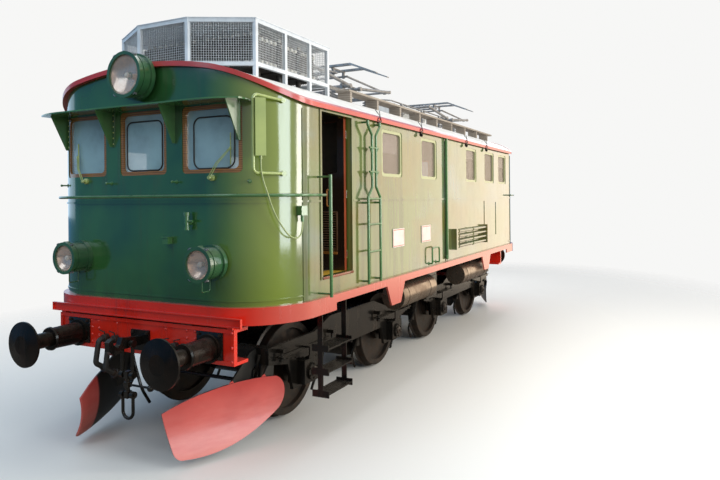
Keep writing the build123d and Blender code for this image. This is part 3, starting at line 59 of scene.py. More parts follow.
def linked(piece):
    scene.collection.objects.link(piece)
    return piece


def new_curve(name, kind, points, bevel, resolution):
    curve = bpy.data.curves.new(name, "CURVE")
    curve.dimensions = "3D"
    curve.bevel_depth = bevel
    curve.bevel_resolution = resolution
    curve.use_fill_caps = True
    line = curve.splines.new(kind)
    line.points.add(len(points) - 1)
    for point, place in zip(line.points, points):
        point.co = (*place, 1)
    return linked(bpy.data.objects.new(name, curve)), line


# %% [markdown]
# ## The camera
#
# The camera is fitted to the photograph by vanishing points and known sizes: the rail gauge, the
# buffer spacing and the buffer height. The lens is shifted, because the picture is a crop.

# %% Camera
camera_place = Vector((8.745, 4.818, 2.455))
camera_heading = radians(24.771)
camera_roll = radians(0.519)
focal_pixels = 597.741
picture_width, picture_height = 720, 480
sensor_width = 36
optical_axis = (402.035, 197.61)

across = Vector((-sin(camera_heading), cos(camera_heading), 0))
ahead = Vector((-cos(camera_heading), -sin(camera_heading), 0))
upward = Vector((0, 0, 1))
camera_x = across * cos(camera_roll) - upward * sin(camera_roll)
camera_y = across * sin(camera_roll) + upward * cos(camera_roll)
camera_data = bpy.data.cameras.new("camera")
camera_data.sensor_width = sensor_width
camera_data.lens = sensor_width * focal_pixels / picture_width
camera_data.shift_x = (picture_width / 2 - optical_axis[0]) / picture_width
camera_data.shift_y = (optical_axis[1] - picture_height / 2) / picture_width
camera_data.clip_end = 200
camera = linked(bpy.data.objects.new("camera", camera_data))
turn = Matrix((camera_x, camera_y, -ahead)).transposed().to_4x4()
camera.matrix_world = at(*camera_place) @ turn
bpy.context.scene.camera = camera

# %% [markdown]
# ## The lamp cable
#
# One cable runs from the terminal box at the front left corner to a socket on the wall. It hangs
# free between its ends, so it is a NURBS spline along the route of the CAD tube. A curve's box in
# Blender grows by the radius of its points: they are small, and the bevel is large.

# %% Lamp cable
cable_route = [
    (4.392, 1.413, 2.815), (4.392, 1.413, 2.72), (4.37, 1.425, 2.61), (4.334, 1.444, 2.5),
    (4.299, 1.457, 2.39), (4.256, 1.481, 2.283), (4.198, 1.511, 2.18), (4.133, 1.537, 2.103),
    (4.062, 1.553, 2.078), (3.998, 1.563, 2.1), (3.97, 1.567, 2.165), (3.97, 1.567, 2.235),
]
tube_radius = 0.007
point_radius = 0.01
lamp_cable, spline = new_curve("hanging_lamp_cable", "NURBS", cable_route, tube_radius / point_radius, 3)
for point in spline.points:
    point.radius = point_radius
spline.order_u = 3
spline.use_endpoint_u = True
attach(lamp_cable, "carbody")
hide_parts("lamp_cable")

# %% [markdown]
# ## Shader groups
#
# Old gloss paint is patchy, dust lies on what faces up, and thin runs of dirt go down from the
# edges; on the green paint the patches and runs also serve as painted reflection. Each effect is
# part of a node group with named inputs, which every material places with its own values.


# %% Helpers for node trees
def start_group(name, colours, values, results):
    tree = bpy.data.node_groups.new(name, "ShaderNodeTree")
    kinds = {"Color": "NodeSocketColor", "Roughness": "NodeSocketFloat", "Normal": "NodeSocketVector"}
    for title in colours:
        tree.interface.new_socket(title, in_out="INPUT", socket_type="NodeSocketColor")
    for title in values:
        tree.interface.new_socket(title, in_out="INPUT", socket_type="NodeSocketFloat")
    for title in results:
        tree.interface.new_socket(title, in_out="OUTPUT", socket_type=kinds[title])
    return tree, tree.nodes.new("NodeGroupInput").outputs, tree.nodes.new("NodeGroupOutput").inputs


def feed(tree, socket, value):
    """Joins another node's socket to this one, or sets a plain value on it."""
    if isinstance(value, bpy.types.NodeSocket):
        tree.links.new(value, socket)
    else:
        socket.default_value = value


def add_node(tree, kind, **values):
    node = tree.nodes.new("ShaderNode" + kind)
    for name, value in values.items():
        if hasattr(node, name):
            setattr(node, name, value)
        else:
            node.inputs[name].default_value = value
    return node


def coordinates(tree, kind="Object"):
    return add_node(tree, "TexCoord").outputs[kind]


def axes_of(tree, vector):
    node = add_node(tree, "SeparateXYZ")
    feed(tree, node.inputs[0], vector)
    return node.outputs


def add_mix(tree, factor, first, second, blend="MIX"):
    mix = add_node(tree, "Mix", data_type="RGBA", blend_type=blend)
    for number, value in ((0, factor), (6, first), (7, second)):
        feed(tree, mix.inputs[number], value)
    return mix.outputs[2]


def add_math(tree, operation, first, second=0, clamp=False):
    node = add_node(tree, "Math", operation=operation, use_clamp=clamp)
    feed(tree, node.inputs[0], first)
    feed(tree, node.inputs[1], second)
    return node.outputs[0]


def times(tree, first, second):
    return add_math(tree, "MULTIPLY", first, second)


def plus(tree, first, second, clamp=False):
    return add_math(tree, "ADD", first, second, clamp)


def size_of(tree, value):
    return add_math(tree, "ABSOLUTE", value)


def add_noise(tree, place, scale, detail=4, rough=0.55):
    node = add_node(tree, "TexNoise", Detail=detail, Roughness=rough)
    feed(tree, node.inputs["Vector"], place)
    feed(tree, node.inputs["Scale"], scale)
    return node.outputs["Fac"]


def add_range(tree, value, low, high, to_low=0, to_high=1):
    node = add_node(tree, "MapRange", clamp=True)
    names = ("Value", "From Min", "From Max", "To Min", "To Max")
    for name, number in zip(names, (value, low, high, to_low, to_high)):
        feed(tree, node.inputs[name], number)
    return node.outputs["Result"]


def add_bump(tree, height, strength, distance, target):
    bump = add_node(tree, "Bump", Strength=strength, Distance=distance)
    feed(tree, bump.inputs["Height"], height)
    feed(tree, target, bump.outputs["Normal"])


def stretched(tree, place, scale):
    node = add_node(tree, "Mapping", Scale=scale)
    feed(tree, node.inputs["Vector"], place)
    return node.outputs["Vector"]


# %% [markdown]
# Aged paint: two shades in soft patches, runs of dirt that are long in Z, dust on faces that look
# up, and a bump of two sizes: the slow wave of thin sheet and the skin of the paint. On the green
# paint the patches and runs are partly a painted reflection: dark streaks of what the gloss mirrors.

# %% Aged paint group
aged_paint, given, result = start_group(
    "aged_paint", ("Paint", "Shade", "Dirt"), ("Patch Size", "Runs", "Dust", "Gloss", "Wave"),
    ("Color", "Roughness", "Normal"))
tree = aged_paint
dust_colour = (0.42, 0.38, 0.32, 1)
run_shape = (14, 14, 0.9)
place = coordinates(tree)
patches = add_range(tree, add_noise(tree, place, given["Patch Size"], 3), 0.35, 0.65)
colour = add_mix(tree, patches, given["Paint"], given["Shade"])
runs = add_range(tree, add_noise(tree, stretched(tree, place, run_shape), 1, 6, 0.6), 0.52, 0.72)
grime_and_reflection = add_range(tree, add_noise(tree, place, 2.6, 5), 0.42, 0.66)
run_mask = times(tree, times(tree, runs, grime_and_reflection), given["Runs"])
colour = add_mix(tree, run_mask, colour, given["Dirt"])
facing = axes_of(tree, add_node(tree, "NewGeometry").outputs["Normal"])
upturned = add_range(tree, facing["Z"], 0.35, 0.95)
specks = add_range(tree, add_noise(tree, place, 9, 6, 0.7), 0.35, 0.65, 0.35, 1)
dust = times(tree, times(tree, upturned, specks), given["Dust"])
feed(tree, result["Color"], add_mix(tree, dust, colour, dust_colour))
rough = plus(tree, given["Gloss"], times(tree, add_noise(tree, place, 30, 5, 0.6), 0.08))
rough = plus(tree, rough, times(tree, run_mask, 0.4))
rough = plus(tree, rough, times(tree, dust, 0.5), True)
feed(tree, result["Roughness"], rough)
wave = times(tree, add_noise(tree, place, 2.2, 2, 0.4), given["Wave"])
skin = times(tree, add_noise(tree, place, 55, 2), 0.006)
add_bump(tree, plus(tree, wave, skin), 0.6, 0.05, result["Normal"])

# %% [markdown]
# Handled metal: dark and bright patches, a patina that gathers in spots, and small pits. It also
# serves for rubber and porcelain.

# %% Handled metal group
handled_metal, given, result = start_group(
    "handled_metal", ("Metal", "Patina"), ("Patina Amount", "Grain Size", "Polish", "Bump"),
    ("Color", "Roughness", "Normal"))
tree = handled_metal
place = coordinates(tree)
spots = add_range(tree, add_noise(tree, place, given["Grain Size"], 8, 0.65), 0.42, 0.62)
patina = times(tree, spots, given["Patina Amount"])
colour = add_mix(tree, patina, given["Metal"], given["Patina"])
shade = times(tree, add_noise(tree, place, 3, 3), 0.5)
feed(tree, result["Color"], add_mix(tree, shade, colour, (0.5, 0.5, 0.5, 1), "MULTIPLY"))
feed(tree, result["Roughness"], plus(tree, given["Polish"], times(tree, patina, 0.3), True))
pits = times(tree, add_noise(tree, place, 90, 4, 0.7), given["Bump"])
add_bump(tree, pits, 0.35, 0.003, result["Normal"])

# %% [markdown]
# Varnished wood: the rings of a trunk are long bands in a board, so the pattern is a wave
# texture, stretched and distorted, with fine pores over it.

# %% Varnished wood group
varnished_wood, given, result = start_group(
    "varnished_wood", ("Light Wood", "Dark Wood"), ("Ring Scale",), ("Color", "Normal"))
tree = varnished_wood
place = coordinates(tree)
rings = add_node(tree, "TexWave", Distortion=6, Detail=3, bands_direction="Z")
feed(tree, rings.inputs["Vector"], stretched(tree, place, (0.25, 0.25, 1.6)))
feed(tree, rings.inputs["Scale"], given["Ring Scale"])
pores = add_noise(tree, stretched(tree, place, (8, 8, 90)), 1, 4)
figure = plus(tree, times(tree, rings.outputs["Fac"], 0.6), times(tree, pores, 0.5), True)
feed(tree, result["Color"], add_mix(tree, figure, given["Light Wood"], given["Dark Wood"]))
add_bump(tree, pores, 0.2, 0.002, result["Normal"])

# %% [markdown]
# ## Materials
#
# Each material is a Principled shader with plain numbers on its own sockets, and a group that
# feeds what changes over the surface. The values of a group come in the order of its inputs.


# %% Material helpers
def shader_of(material):
    tree = material.node_tree
    return tree, tree.nodes["Principled BSDF"].inputs


def new_material(name):
    material = bpy.data.materials.new(name)
    material.use_nodes = True
    return material, *shader_of(material)


def grouped_material(name, group, values, **sockets):
    material, tree, shader = new_material(name)
    for socket, value in sockets.items():
        shader[socket.replace("_", " ")].default_value = value
    placed = add_node(tree, "Group", node_tree=group)
    for socket, value in zip(placed.inputs, values):
        socket.default_value = (*value, 1) if isinstance(value, tuple) else value
    for socket, target in (("Color", "Base Color"), ("Roughness", "Roughness"), ("Normal", "Normal")):
        if socket in placed.outputs:
            feed(tree, shader[target], placed.outputs[socket])
    return material


def paint(name, colour, shade, dirt, patch, runs, dust, gloss, wave, coat, specular=0.5):
    return grouped_material(name, aged_paint, (colour, shade, dirt, patch, runs, dust, gloss, wave),
                            Coat_Weight=coat, Coat_Roughness=0.08, Specular_IOR_Level=specular)


def metal(name, colour, patina, amount, grain, polish, bump, metallic):
    return grouped_material(name, handled_metal, (colour, patina, amount, grain, polish, bump),
                            Metallic=metallic)


def varnish(name, light, dark, rings, **sockets):
    return grouped_material(name, varnished_wood, (light, dark, rings), **sockets)


def repaint(material, colour, mask_of, blotch=None):
    """Gives another colour where a mask of the object's own X, Y, Z is set. A blotch is a scale along
    the axes: the mask then only holds in patches of a noise so scaled."""
    tree, shader = shader_of(material)
    place = coordinates(tree)
    mask = mask_of(tree, axes_of(tree, place))
    if blotch:
        patches = add_range(tree, add_noise(tree, stretched(tree, place, blotch), 1, 5), 0.46, 0.66)
        mask = times(tree, mask, patches)
    base = shader["Base Color"]
    feed(tree, base, add_mix(tree, mask, base.links[0].from_socket, (*colour, 1)))


# %% Paints
# Colour, shade and dirt, then patch size, runs, dust, gloss, wave, coat and, where it isn't 0.5, specular.
# The green's strong runs and the contrast between its colour and shade are partly dirt and partly painted
# reflection.
green_paint = paint(
    "gloss_green_paint", (0.04, 0.145, 0.03), (0.016, 0.078, 0.032), (0.05, 0.05, 0.02),
    0.9, 0.55, 0.2, 0.1, 0.25, 1)
trim_green_paint = paint(
    "trim_green_paint", (0.065, 0.185, 0.052), (0.045, 0.14, 0.045), (0.08, 0.08, 0.04),
    3, 0.3, 0.25, 0.18, 0.05, 0.8)
pale_green_paint = paint(
    "pale_green_paint", (0.38, 0.46, 0.15), (0.3, 0.38, 0.13), (0.12, 0.12, 0.05),
    3, 0.25, 0.25, 0.2, 0.05, 0.6)
dark_green_paint = paint(
    "dark_green_paint", (0.036, 0.115, 0.045), (0.022, 0.08, 0.036), (0.05, 0.05, 0.03),
    5, 0.3, 0.25, 0.15, 0.05, 0.8)
red_paint = paint(
    "gloss_red_paint", (0.78, 0.026, 0.01), (0.66, 0.022, 0.01), (0.14, 0.02, 0.015),
    2, 0.45, 0.2, 0.2, 0.1, 0.6)
rim_red_paint = paint(
    "rim_red_paint", (0.56, 0.036, 0.032), (0.46, 0.034, 0.034), (0.16, 0.05, 0.03),
    4, 0.4, 0.15, 0.25, 0.04, 0.5)
silver_paint = paint(
    "roof_silver_paint", (0.7, 0.7, 0.69), (0.58, 0.58, 0.57), (0.25, 0.2, 0.15),
    2.2, 0.5, 0.25, 0.38, 0.08, 0.1)
door_paint = paint(
    "door_red_brown_paint", (0.26, 0.045, 0.014), (0.18, 0.032, 0.012), (0.06, 0.03, 0.015),
    3, 0.35, 0.2, 0.2, 0.05, 0.5)
louvre_paint = paint(
    "louvre_brown_paint", (0.11, 0.048, 0.018), (0.07, 0.03, 0.012), (0.04, 0.02, 0.01),
    3, 0.35, 0.2, 0.25, 0.05, 0.3)
black_paint = paint(
    "oily_black_paint", (0.0045, 0.0042, 0.004), (0.01, 0.008, 0.006), (0.045, 0.026, 0.014),
    6, 0.55, 0.08, 0.2, 0.05, 0.2, 0.3)
cage_paint = paint(
    "cage_grey_paint", (0.66, 0.71, 0.77), (0.55, 0.6, 0.66), (0.15, 0.13, 0.11),
    6, 0.4, 0.3, 0.35, 0.04, 0.2)
floor_paint = paint(
    "cab_floor_paint", (0.08, 0.065, 0.05), (0.05, 0.042, 0.035), (0.06, 0.05, 0.04),
    5, 0.3, 0.3, 0.45, 0.03, 0)
cab_paint = paint(
    "cab_green_grey_paint", (0.05, 0.07, 0.05), (0.04, 0.055, 0.04), (0.05, 0.05, 0.04),
    4, 0.3, 0.3, 0.3, 0.03, 0.2)
white_paint = paint(
    "plate_white_paint", (0.72, 0.68, 0.64), (0.62, 0.57, 0.53), (0.2, 0.1, 0.08),
    9, 0.3, 0.2, 0.35, 0.02, 0.1)
blind_paint = paint(
    "blind_lilac_paint", (0.36, 0.33, 0.36), (0.3, 0.27, 0.3), (0.2, 0.17, 0.17),
    6, 0.4, 0.2, 0.5, 0.03, 0)
buffer_paint = paint(
    "buffer_black_paint", (0.004, 0.0035, 0.003), (0.012, 0.007, 0.005), (0.05, 0.025, 0.015),
    7, 0.4, 0.05, 0.22, 0.02, 0.15, 0.15)

# %% [markdown]
# The green of the long sides has faded to khaki with rusty and dark patches, and with pale bluish
# patches that are a painted sheen; the change lies on the rounded corners. The corner towards +Y
# is painted a lighter yellow green as a highlight where the light falls. The ends are dirtier low
# down. The floor is yellow in a strip at the doorway.


# %% Where a paint changes
def rising(axis, start, end, most=1):
    return lambda tree, spot: add_range(tree, spot[axis], start, end, 0, most)


def away_from_middle(axis, start, end):
    return lambda tree, spot: add_range(tree, size_of(tree, spot[axis]), start, end)


repaint(green_paint, (0.016, 0.05, 0.016), rising("Z", 1.75, 1.35, 0.6), (3, 3, 0.7))
# Painted highlight: the corner towards +Y is lighter yellow green, as where the light falls on it.
repaint(green_paint, (0.17, 0.23, 0.03), rising("Y", 0.8, 1.4))
repaint(green_paint, (0.125, 0.165, 0.055), away_from_middle("Y", 1.45, 1.555))
# Painted sheen: the pale bluish patches on the long sides stand for the reflection in their gloss.
repaint(green_paint, (0.15, 0.2, 0.19), away_from_middle("Y", 1.5, 1.555), (0.8, 1, 1.1))
repaint(green_paint, (0.15, 0.125, 0.03), away_from_middle("Y", 1.5, 1.555), (1.1, 1, 2.3))
repaint(green_paint, (0.04, 0.06, 0.022), away_from_middle("Y", 1.53, 1.555), (7, 1, 0.6))
repaint(red_paint, (0.52, 0.095, 0.07), away_from_middle("Y", 1.25, 1.56))


def shaded_door_faces(tree, spot):
    """The open left door has its faces towards X, and the shut right door towards Y. These faces get a
    painted shade: near black, as the shade inside the doorway, so that only the red brown edges show.
    """
    normal = axes_of(tree, coordinates(tree, "Normal"))
    along = add_range(tree, size_of(tree, normal["X"]), 0.4, 0.6)
    across = add_range(tree, size_of(tree, normal["Y"]), 0.4, 0.6)
    left = add_range(tree, spot["Y"], -0.1, 0.1)
    right = add_math(tree, "SUBTRACT", 1, left)
    return plus(tree, times(tree, along, left), times(tree, across, right), True)


# Painted shade: the faces of the doors are made near black.
repaint(door_paint, (0.022, 0.011, 0.007), shaded_door_faces)
# A strip of the floor at the doorway is made yellow.
repaint(floor_paint, (0.62, 0.36, 0.03), away_from_middle("Y", 1.28, 1.3))

# %% [markdown]
# The frames of the side windows are painted, those of the end windows are varnished. The glass is
# mostly clear, with smears. Its colour is a painted reflection: bluish white in the end windows and
# brownish in the sides.

# %% Metals, wood, rubber and glass
wheel_steel = metal("dark_wheel_steel", (0.03, 0.026, 0.023), (0.06, 0.034, 0.02), 0.6, 10, 0.34, 0.5, 0.4)
grey_steel = metal("pantograph_grey_steel", (0.3, 0.31, 0.33), (0.16, 0.14, 0.12), 0.5, 14, 0.38, 0.3, 0.8)
mesh_steel = metal("mesh_wire_steel", (0.62, 0.65, 0.68), (0.35, 0.35, 0.35), 0.4, 20, 0.4, 0.2, 0.3)
grid_iron = metal("resistor_grid_iron", (0.05, 0.05, 0.052), (0.1, 0.08, 0.06), 0.5, 10, 0.5, 0.4, 0.4)
reflector_metal = metal("lamp_reflector", (0.9, 0.7, 0.58), (0.6, 0.28, 0.15), 0.5, 3, 0.1, 0, 1)
wood = varnish("window_wood", (0.42, 0.19, 0.045), (0.16, 0.06, 0.018), 10,
               Roughness=0.25, Coat_Weight=0.4, Coat_Roughness=0.1)
repaint(wood, (0.36, 0.39, 0.2), away_from_middle("X", 3.95, 3.9))
board_wood = varnish("walkway_board_wood", (0.4, 0.36, 0.31), (0.22, 0.18, 0.15), 8, Roughness=0.7)
# Painted reflection: the brown grey bronze colour of the tanks and their brown patches stand for the pale
# floor and light that they mirror.
tank_reflection_metal = metal("tank_painted_reflection_metal", (0.34, 0.27, 0.21), (0.12, 0.065, 0.035), 0.55, 5, 0.2, 0.1, 0.85)
rubber = metal("hose_rubber", (0.015, 0.015, 0.015), (0.05, 0.045, 0.04), 0.5, 9, 0.55, 0.6, 0)
cable_sheath = metal("cable_sheath", (0.42, 0.5, 0.22), (0.28, 0.32, 0.15), 0.4, 20, 0.4, 0.3, 0)
porcelain = metal("porcelain", (0.8, 0.78, 0.72), (0.5, 0.42, 0.35), 0.25, 8, 0.15, 0.05, 0)
handle_brass = metal("orange_handle_brass", (0.42, 0.16, 0.03), (0.22, 0.08, 0.02), 0.4, 9, 0.3, 0.2, 0.4)


def glass_material(name, colour, alpha, rough):
    material, tree, shader = new_material(name)
    shader["Roughness"].default_value = rough
    shader["IOR"].default_value = 1.5
    shader["Specular IOR Level"].default_value = 0.9
    place = coordinates(tree)
    smears = add_range(tree, add_noise(tree, place, 3, 6, 0.6), 0.4, 0.7)
    smear_colour = (*[part * 0.55 for part in colour], 1)
    feed(tree, shader["Base Color"], add_mix(tree, smears, (*colour, 1), smear_colour))
    feed(tree, shader["Alpha"], plus(tree, times(tree, smears, 0.12), alpha))
    add_bump(tree, add_noise(tree, place, 4, 1), 0.15, 0.004, shader["Normal"])
    return material


# Painted reflection: the bluish white of the end windows' glass.
window_glass = glass_material("window_glass", (0.62, 0.9, 1), 0.36, 0.03)
# Painted reflection: the glass of the sides is brownish.
repaint(window_glass, (0.36, 0.29, 0.24), away_from_middle("Y", 1.45, 1.5))
lamp_glass = glass_material("lamp_glass", (0.86, 0.74, 0.67), 0.16, 0.05)

# %% [markdown]
# The plough blades are faded red outside and at the toe, and black behind. All of this is one CAD
# node, so the colour comes from the face itself: a face whose normal points away from the middle
# in X as well as in Y is an outer one. Dust makes the lower half paler.

# %% Plough paint
plough_paint = paint("plough_faded_red_paint", (0.6, 0.085, 0.075), (0.5, 0.06, 0.055),
                     (0.7, 0.32, 0.28), 2.5, 0, 0.2, 0.34, 0.05, 0.1)
tree, shader = shader_of(plough_paint)
base = shader["Base Color"]
place = coordinates(tree)
spot = axes_of(tree, place)
normal = axes_of(tree, coordinates(tree, "Normal"))
sideways = times(tree, spot["Y"], normal["Y"])
endways = times(tree, spot["X"], normal["X"])
not_outer = add_range(tree, add_math(tree, "MINIMUM", sideways, endways), 0.1, 0.2, 1, 0)
toe = add_range(tree, size_of(tree, spot["X"]), 4.4, 4.43)
low_dust = add_range(tree, spot["Z"], 0.12, 0.62, 0.75, 0)
scuffs = add_noise(tree, stretched(tree, place, (2, 2, 9)), 1, 6, 0.6)
low_dust = times(tree, low_dust, add_range(tree, scuffs, 0.3, 0.7, 0.3, 1))
faded = add_mix(tree, low_dust, base.links[0].from_socket, (0.72, 0.26, 0.23, 1))
black_part = add_math(tree, "SUBTRACT", not_outer, toe, True)
feed(tree, base, add_mix(tree, black_part, faded, (0.015, 0.014, 0.013, 1)))


# %% Put the materials on the CAD nodes
pantographs = " ".join(f"pantograph_{end}_{part}" for end in ("front", "rear")
                       for part in ("lower_a", "lower_b", "upper_a", "upper_b", "head"))
for material, names in (
        (green_paint, "end_wall_front end_wall_rear side_wall_left side_wall_right belt_bead cooler_pipes"),
        (trim_green_paint, "visors handrails cable_socket roof_ladders"),
        (pale_green_paint, "corner_boxes"),
        (dark_green_paint, "headlamps"),
        (red_paint, "skirt buffer_beams"),
        (rim_red_paint, "roof_rim"),
        (plough_paint, "plough_front plough_rear"),
        (silver_paint, "roof roof_box"),
        (door_paint, "door_left door_right"),
        (black_paint, "underframe bogie_frame_front bogie_frame_rear axleboxes_front axleboxes_rear "
                      "entry_steps draw_hooks"),
        (buffer_paint, "buffers"),
        (tank_reflection_metal, "air_tanks"),
        (wheel_steel, "wheelset_1 wheelset_2 wheelset_3 wheelset_4"),
        (wood, "window_frames"),
        (window_glass, "window_glass"),
        (lamp_glass, "lamp_glasses"),
        (cage_paint, "resistor_cage cage_panels"),
        (grid_iron, "resistor_banks"),
        (grey_steel, "pantograph_bases " + pantographs),
        (rubber, "air_hoses"),
        (floor_paint, "cab_floors_and_bulkheads"),
        (cab_paint, "cab_desks_and_seats transformer"),
        (board_wood, "roof_walkways"),
        (cable_sheath, "lamp_cable")):
    for name in names.split():
        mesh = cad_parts[name].data
        mesh.materials.clear()
        mesh.materials.append(material)
lamp_cable.data.materials.append(cable_sheath)

# %% [markdown]
# ## Helpers for modelling
#
# block is a bevelled box, turned is a form of revolution extruded and resized in steps of
# (radius, height), rod is a tube along points, and copies sets a twin at each place.


# %% Modelling helpers
def deselect():
    bpy.ops.object.select_all(action="DESELECT")


def only(piece):
    deselect()
    piece.select_set(True)
    bpy.context.view_layer.objects.active = piece
    return piece


def settle(piece):
    """Moves a piece's own place, turn and scale into its mesh."""
    only(piece)
    bpy.ops.object.transform_apply()
    return piece


def apply_modifier(piece, kind, **values):
    only(piece)
    modifier = piece.modifiers.new(kind.lower(), kind)
    for name, value in values.items():
        setattr(modifier, name, value)
    bpy.ops.object.modifier_apply(modifier=modifier.name)
    return piece


def repeat(piece, count, step):
    return apply_modifier(piece, "ARRAY", count=count, use_relative_offset=False,
                          use_constant_offset=True, constant_offset_displace=step)


def block(size, place, bevel=0.003, segments=2):
    deselect()
    bpy.ops.mesh.primitive_cube_add(size=1, location=place)
    piece = bpy.context.object
    piece.scale = size
    return apply_modifier(settle(piece), "BEVEL", width=bevel, segments=segments)


def aim(piece, place, towards):
    direction = Vector(towards).to_track_quat("Z", "Y").to_matrix().to_4x4()
    piece.matrix_world = at(*place) @ direction
    return settle(piece)


def turned(steps, place=(0, 0, 0), towards=(0, 0, 1), vertices=24, hollow=False):
    deselect()
    fill = "NOTHING" if hollow else "NGON"
    extrude = bpy.ops.mesh.extrude_edges_move if hollow else bpy.ops.mesh.extrude_region_move
    bpy.ops.mesh.primitive_circle_add(
        vertices=vertices, radius=steps[0][0], fill_type=fill, location=(0, 0, steps[0][1]))
    piece = settle(bpy.context.object)
    bpy.ops.object.mode_set(mode="EDIT")
    bpy.ops.mesh.select_all(action="SELECT")
    for (old_radius, old_height), (radius, height) in zip(steps, steps[1:]):
        extrude(TRANSFORM_OT_translate={"value": (0, 0, height - old_height)})
        ratio = radius / old_radius
        bpy.ops.transform.resize(value=(ratio, ratio, 1), center_override=(0, 0, height))
    bpy.ops.mesh.select_all(action="SELECT")
    bpy.ops.mesh.normals_make_consistent(inside=False)
    bpy.ops.object.mode_set(mode="OBJECT")
    return aim(piece, place, towards)


def rod(points, radius, closed=False, resolution=2):
    piece, line = new_curve("rod", "POLY", points, radius, resolution)
    line.use_cyclic_u = closed
    only(piece)
    bpy.ops.object.convert(target="MESH")
    return bpy.context.object


def join(pieces):
    deselect()
    for piece in pieces:
        piece.select_set(True)
    bpy.context.view_layer.objects.active = pieces[0]
    if len(pieces) > 1:
        bpy.ops.object.join()
    return bpy.context.object


def copies(pattern, moves):
    made = []
    for move in moves:
        twin = pattern.copy()
        twin.data = pattern.data.copy()
        twin.matrix_world = move @ pattern.matrix_world
        made.append(linked(twin))
    bpy.data.objects.remove(pattern)
    return join(made)


half_turn = spun(pi, "Z")
smooth_angle = radians(35)


def both_ends(piece):
    return copies(piece, [Matrix.Identity(4), half_turn])


def finish_piece(piece, name, material, body="carbody"):
    settle(piece)
    bpy.ops.object.shade_smooth_by_angle(angle=smooth_angle)
    piece.name = name
    piece.data.name = name
    piece.data.materials.clear()
    piece.data.materials.append(material)
    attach(piece, body)
    return piece


def finish_ends(pieces, name, material):
    return finish_piece(both_ends(join(pieces)), name, material)


# %% [markdown]
# ## The cage on the roof
#
# The cage is closed by wire mesh, which stands for the plain panels of the CAD model: one upright
# and one level wire a panel, repeated at a pitch. Inside stand grids with rows of insulators.

# %% Wire mesh of the cage
cage_corners = [(4.16, 0.33), (3.845, 0.93), (3.345, 0.93), (2.87, 0.93), (2.48, 0.93)]
mesh_bottom, mesh_top = 3.852, 4.248
mesh_pitch = 0.025
wire_radius = 0.0021
wire_gap = 0.012
post_half = 0.022
round_cage = cage_corners + [(x, -y) for x, y in reversed(cage_corners)]
wires = []
for start, end in zip(round_cage, round_cage[1:] + round_cage[:1]):
    start, end = Vector((*start, 0)), Vector((*end, 0))
    along = (end - start).normalized()
    length = (end - start).length - 2 * post_half
    first = start + along * post_half
    upright = turned([(wire_radius, mesh_bottom), (wire_radius, mesh_top)], first + along * wire_gap,
                     vertices=6)
    repeat(upright, int(length / mesh_pitch), along * mesh_pitch)
    level = turned([(wire_radius, 0), (wire_radius, length)],
                   first + Vector((0, 0, mesh_bottom + wire_gap)), along, 6)
    repeat(level, int((mesh_top - mesh_bottom) / mesh_pitch), (0, 0, mesh_pitch))
    wires += [upright, level]
cage_mesh = finish_piece(join(wires), "cage_wire_mesh", mesh_steel)
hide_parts("cage_panels")

# %% Grid plates and insulators in the cage
bank_centres = [(x, y) for x in (2.76, 3.14, 3.52) for y in (-0.44, 0.44)]
plate = block((0.312, 0.005, 0.35), (0, -0.36, 4.02), 0.001, 1)
repeat(plate, 25, (0, 0.03, 0))
finish_piece(copies(plate, [at(x, y, 0) for x, y in bank_centres]), "resistor_grid_plates", grid_iron)
spool = turned([(0.012, 0), (0.021, 0.004), (0.021, 0.014), (0.013, 0.019), (0.021, 0.025), (0.021, 0.036),
                (0.01, 0.042)], vertices=10)
spool_places = []
for x, y in bank_centres:
    side = 1 if y > 0 else -1
    for step in range(9):
        row = y - 0.34 + 0.085 * step
        spool_places.append(at(x + 0.1, row, 4.195))
        spool_places.append(at(x + 0.156, row, 3.9) @ spun(pi / 2, "Y"))
    for step in range(4):
        for z in (3.9, 4.14):
            outer = at(x - 0.11 + 0.075 * step, y + side * 0.381, z)
            spool_places.append(outer @ spun(-side * pi / 2, "X"))
finish_piece(copies(spool, spool_places), "cage_insulators", porcelain)

# %% [markdown]
# ## Lamps
#
# A lamp's glass is clear and shows the reflector behind it: the edge of a circle pulled forward
# and widened in steps, then given a wall. A bulb stands in its middle, and wing nuts clamp the
# front ring.

# %% Reflectors, bulbs and clamps
lamps = [
    # the place of the front edge, and the radius of the recess behind it
    ((4.65, -0.892, 1.865), 0.132),
    ((4.65, 0.892, 1.865), 0.132),
    ((4.66, 0, 3.66), 0.192),
]
bowl_depth, nut_depth, ring_width = 0.078, 0.036, 0.04
bowl_shape = [(0.2, 0), (0.45, 0.006), (0.7, 0.02), (0.88, 0.036), (0.985, 0.052)]
forward = (1, 0, 0)
bowls, bulbs, clamps = [], [], []
for (x, y, z), radius in lamps:
    back = (x - bowl_depth, y, z)
    bowl = turned([(radius * part, depth) for part, depth in bowl_shape], back, forward, 40, True)
    bowls.append(apply_modifier(bowl, "SOLIDIFY", thickness=0.001, offset=0))
    bulbs.append(turned([(0.014, 0), (0.014, 0.012), (0.024, 0.026), (0.027, 0.036), (0.022, 0.046),
                         (0.01, 0.052)], back, forward, 20))
    for angle in (35, 145, 215, 325):
        around = spun(radians(angle), "X")
        nut = turned([(0.011, 0), (0.011, 0.01), (0.006, 0.011), (0.006, 0.03)], (0, 0, 0), forward, 8)
        ears = block((0.006, 0.034, 0.012), (0.026, 0, 0), 0.002)
        place = at(x - nut_depth, y, z) @ around @ at(0, 0, radius + ring_width)
        clamps.append(copies(join([nut, ears]), [place]))
finish_ends(bowls, "lamp_reflectors", reflector_metal)
finish_ends(bulbs, "lamp_bulbs", porcelain)
finish_ends(clamps, "lamp_wing_nuts", grey_steel)

# %% [markdown]
# ## The end windows
#
# The outer panes are bent round the corners of the body, so what lies on them follows a circle in
# plan: on_end gives the place for a sideways offset, and outward the direction off the wall. The
# rubber seal is a bent rod along a rounded rectangle, and a wiper is rods and bevelled blocks.


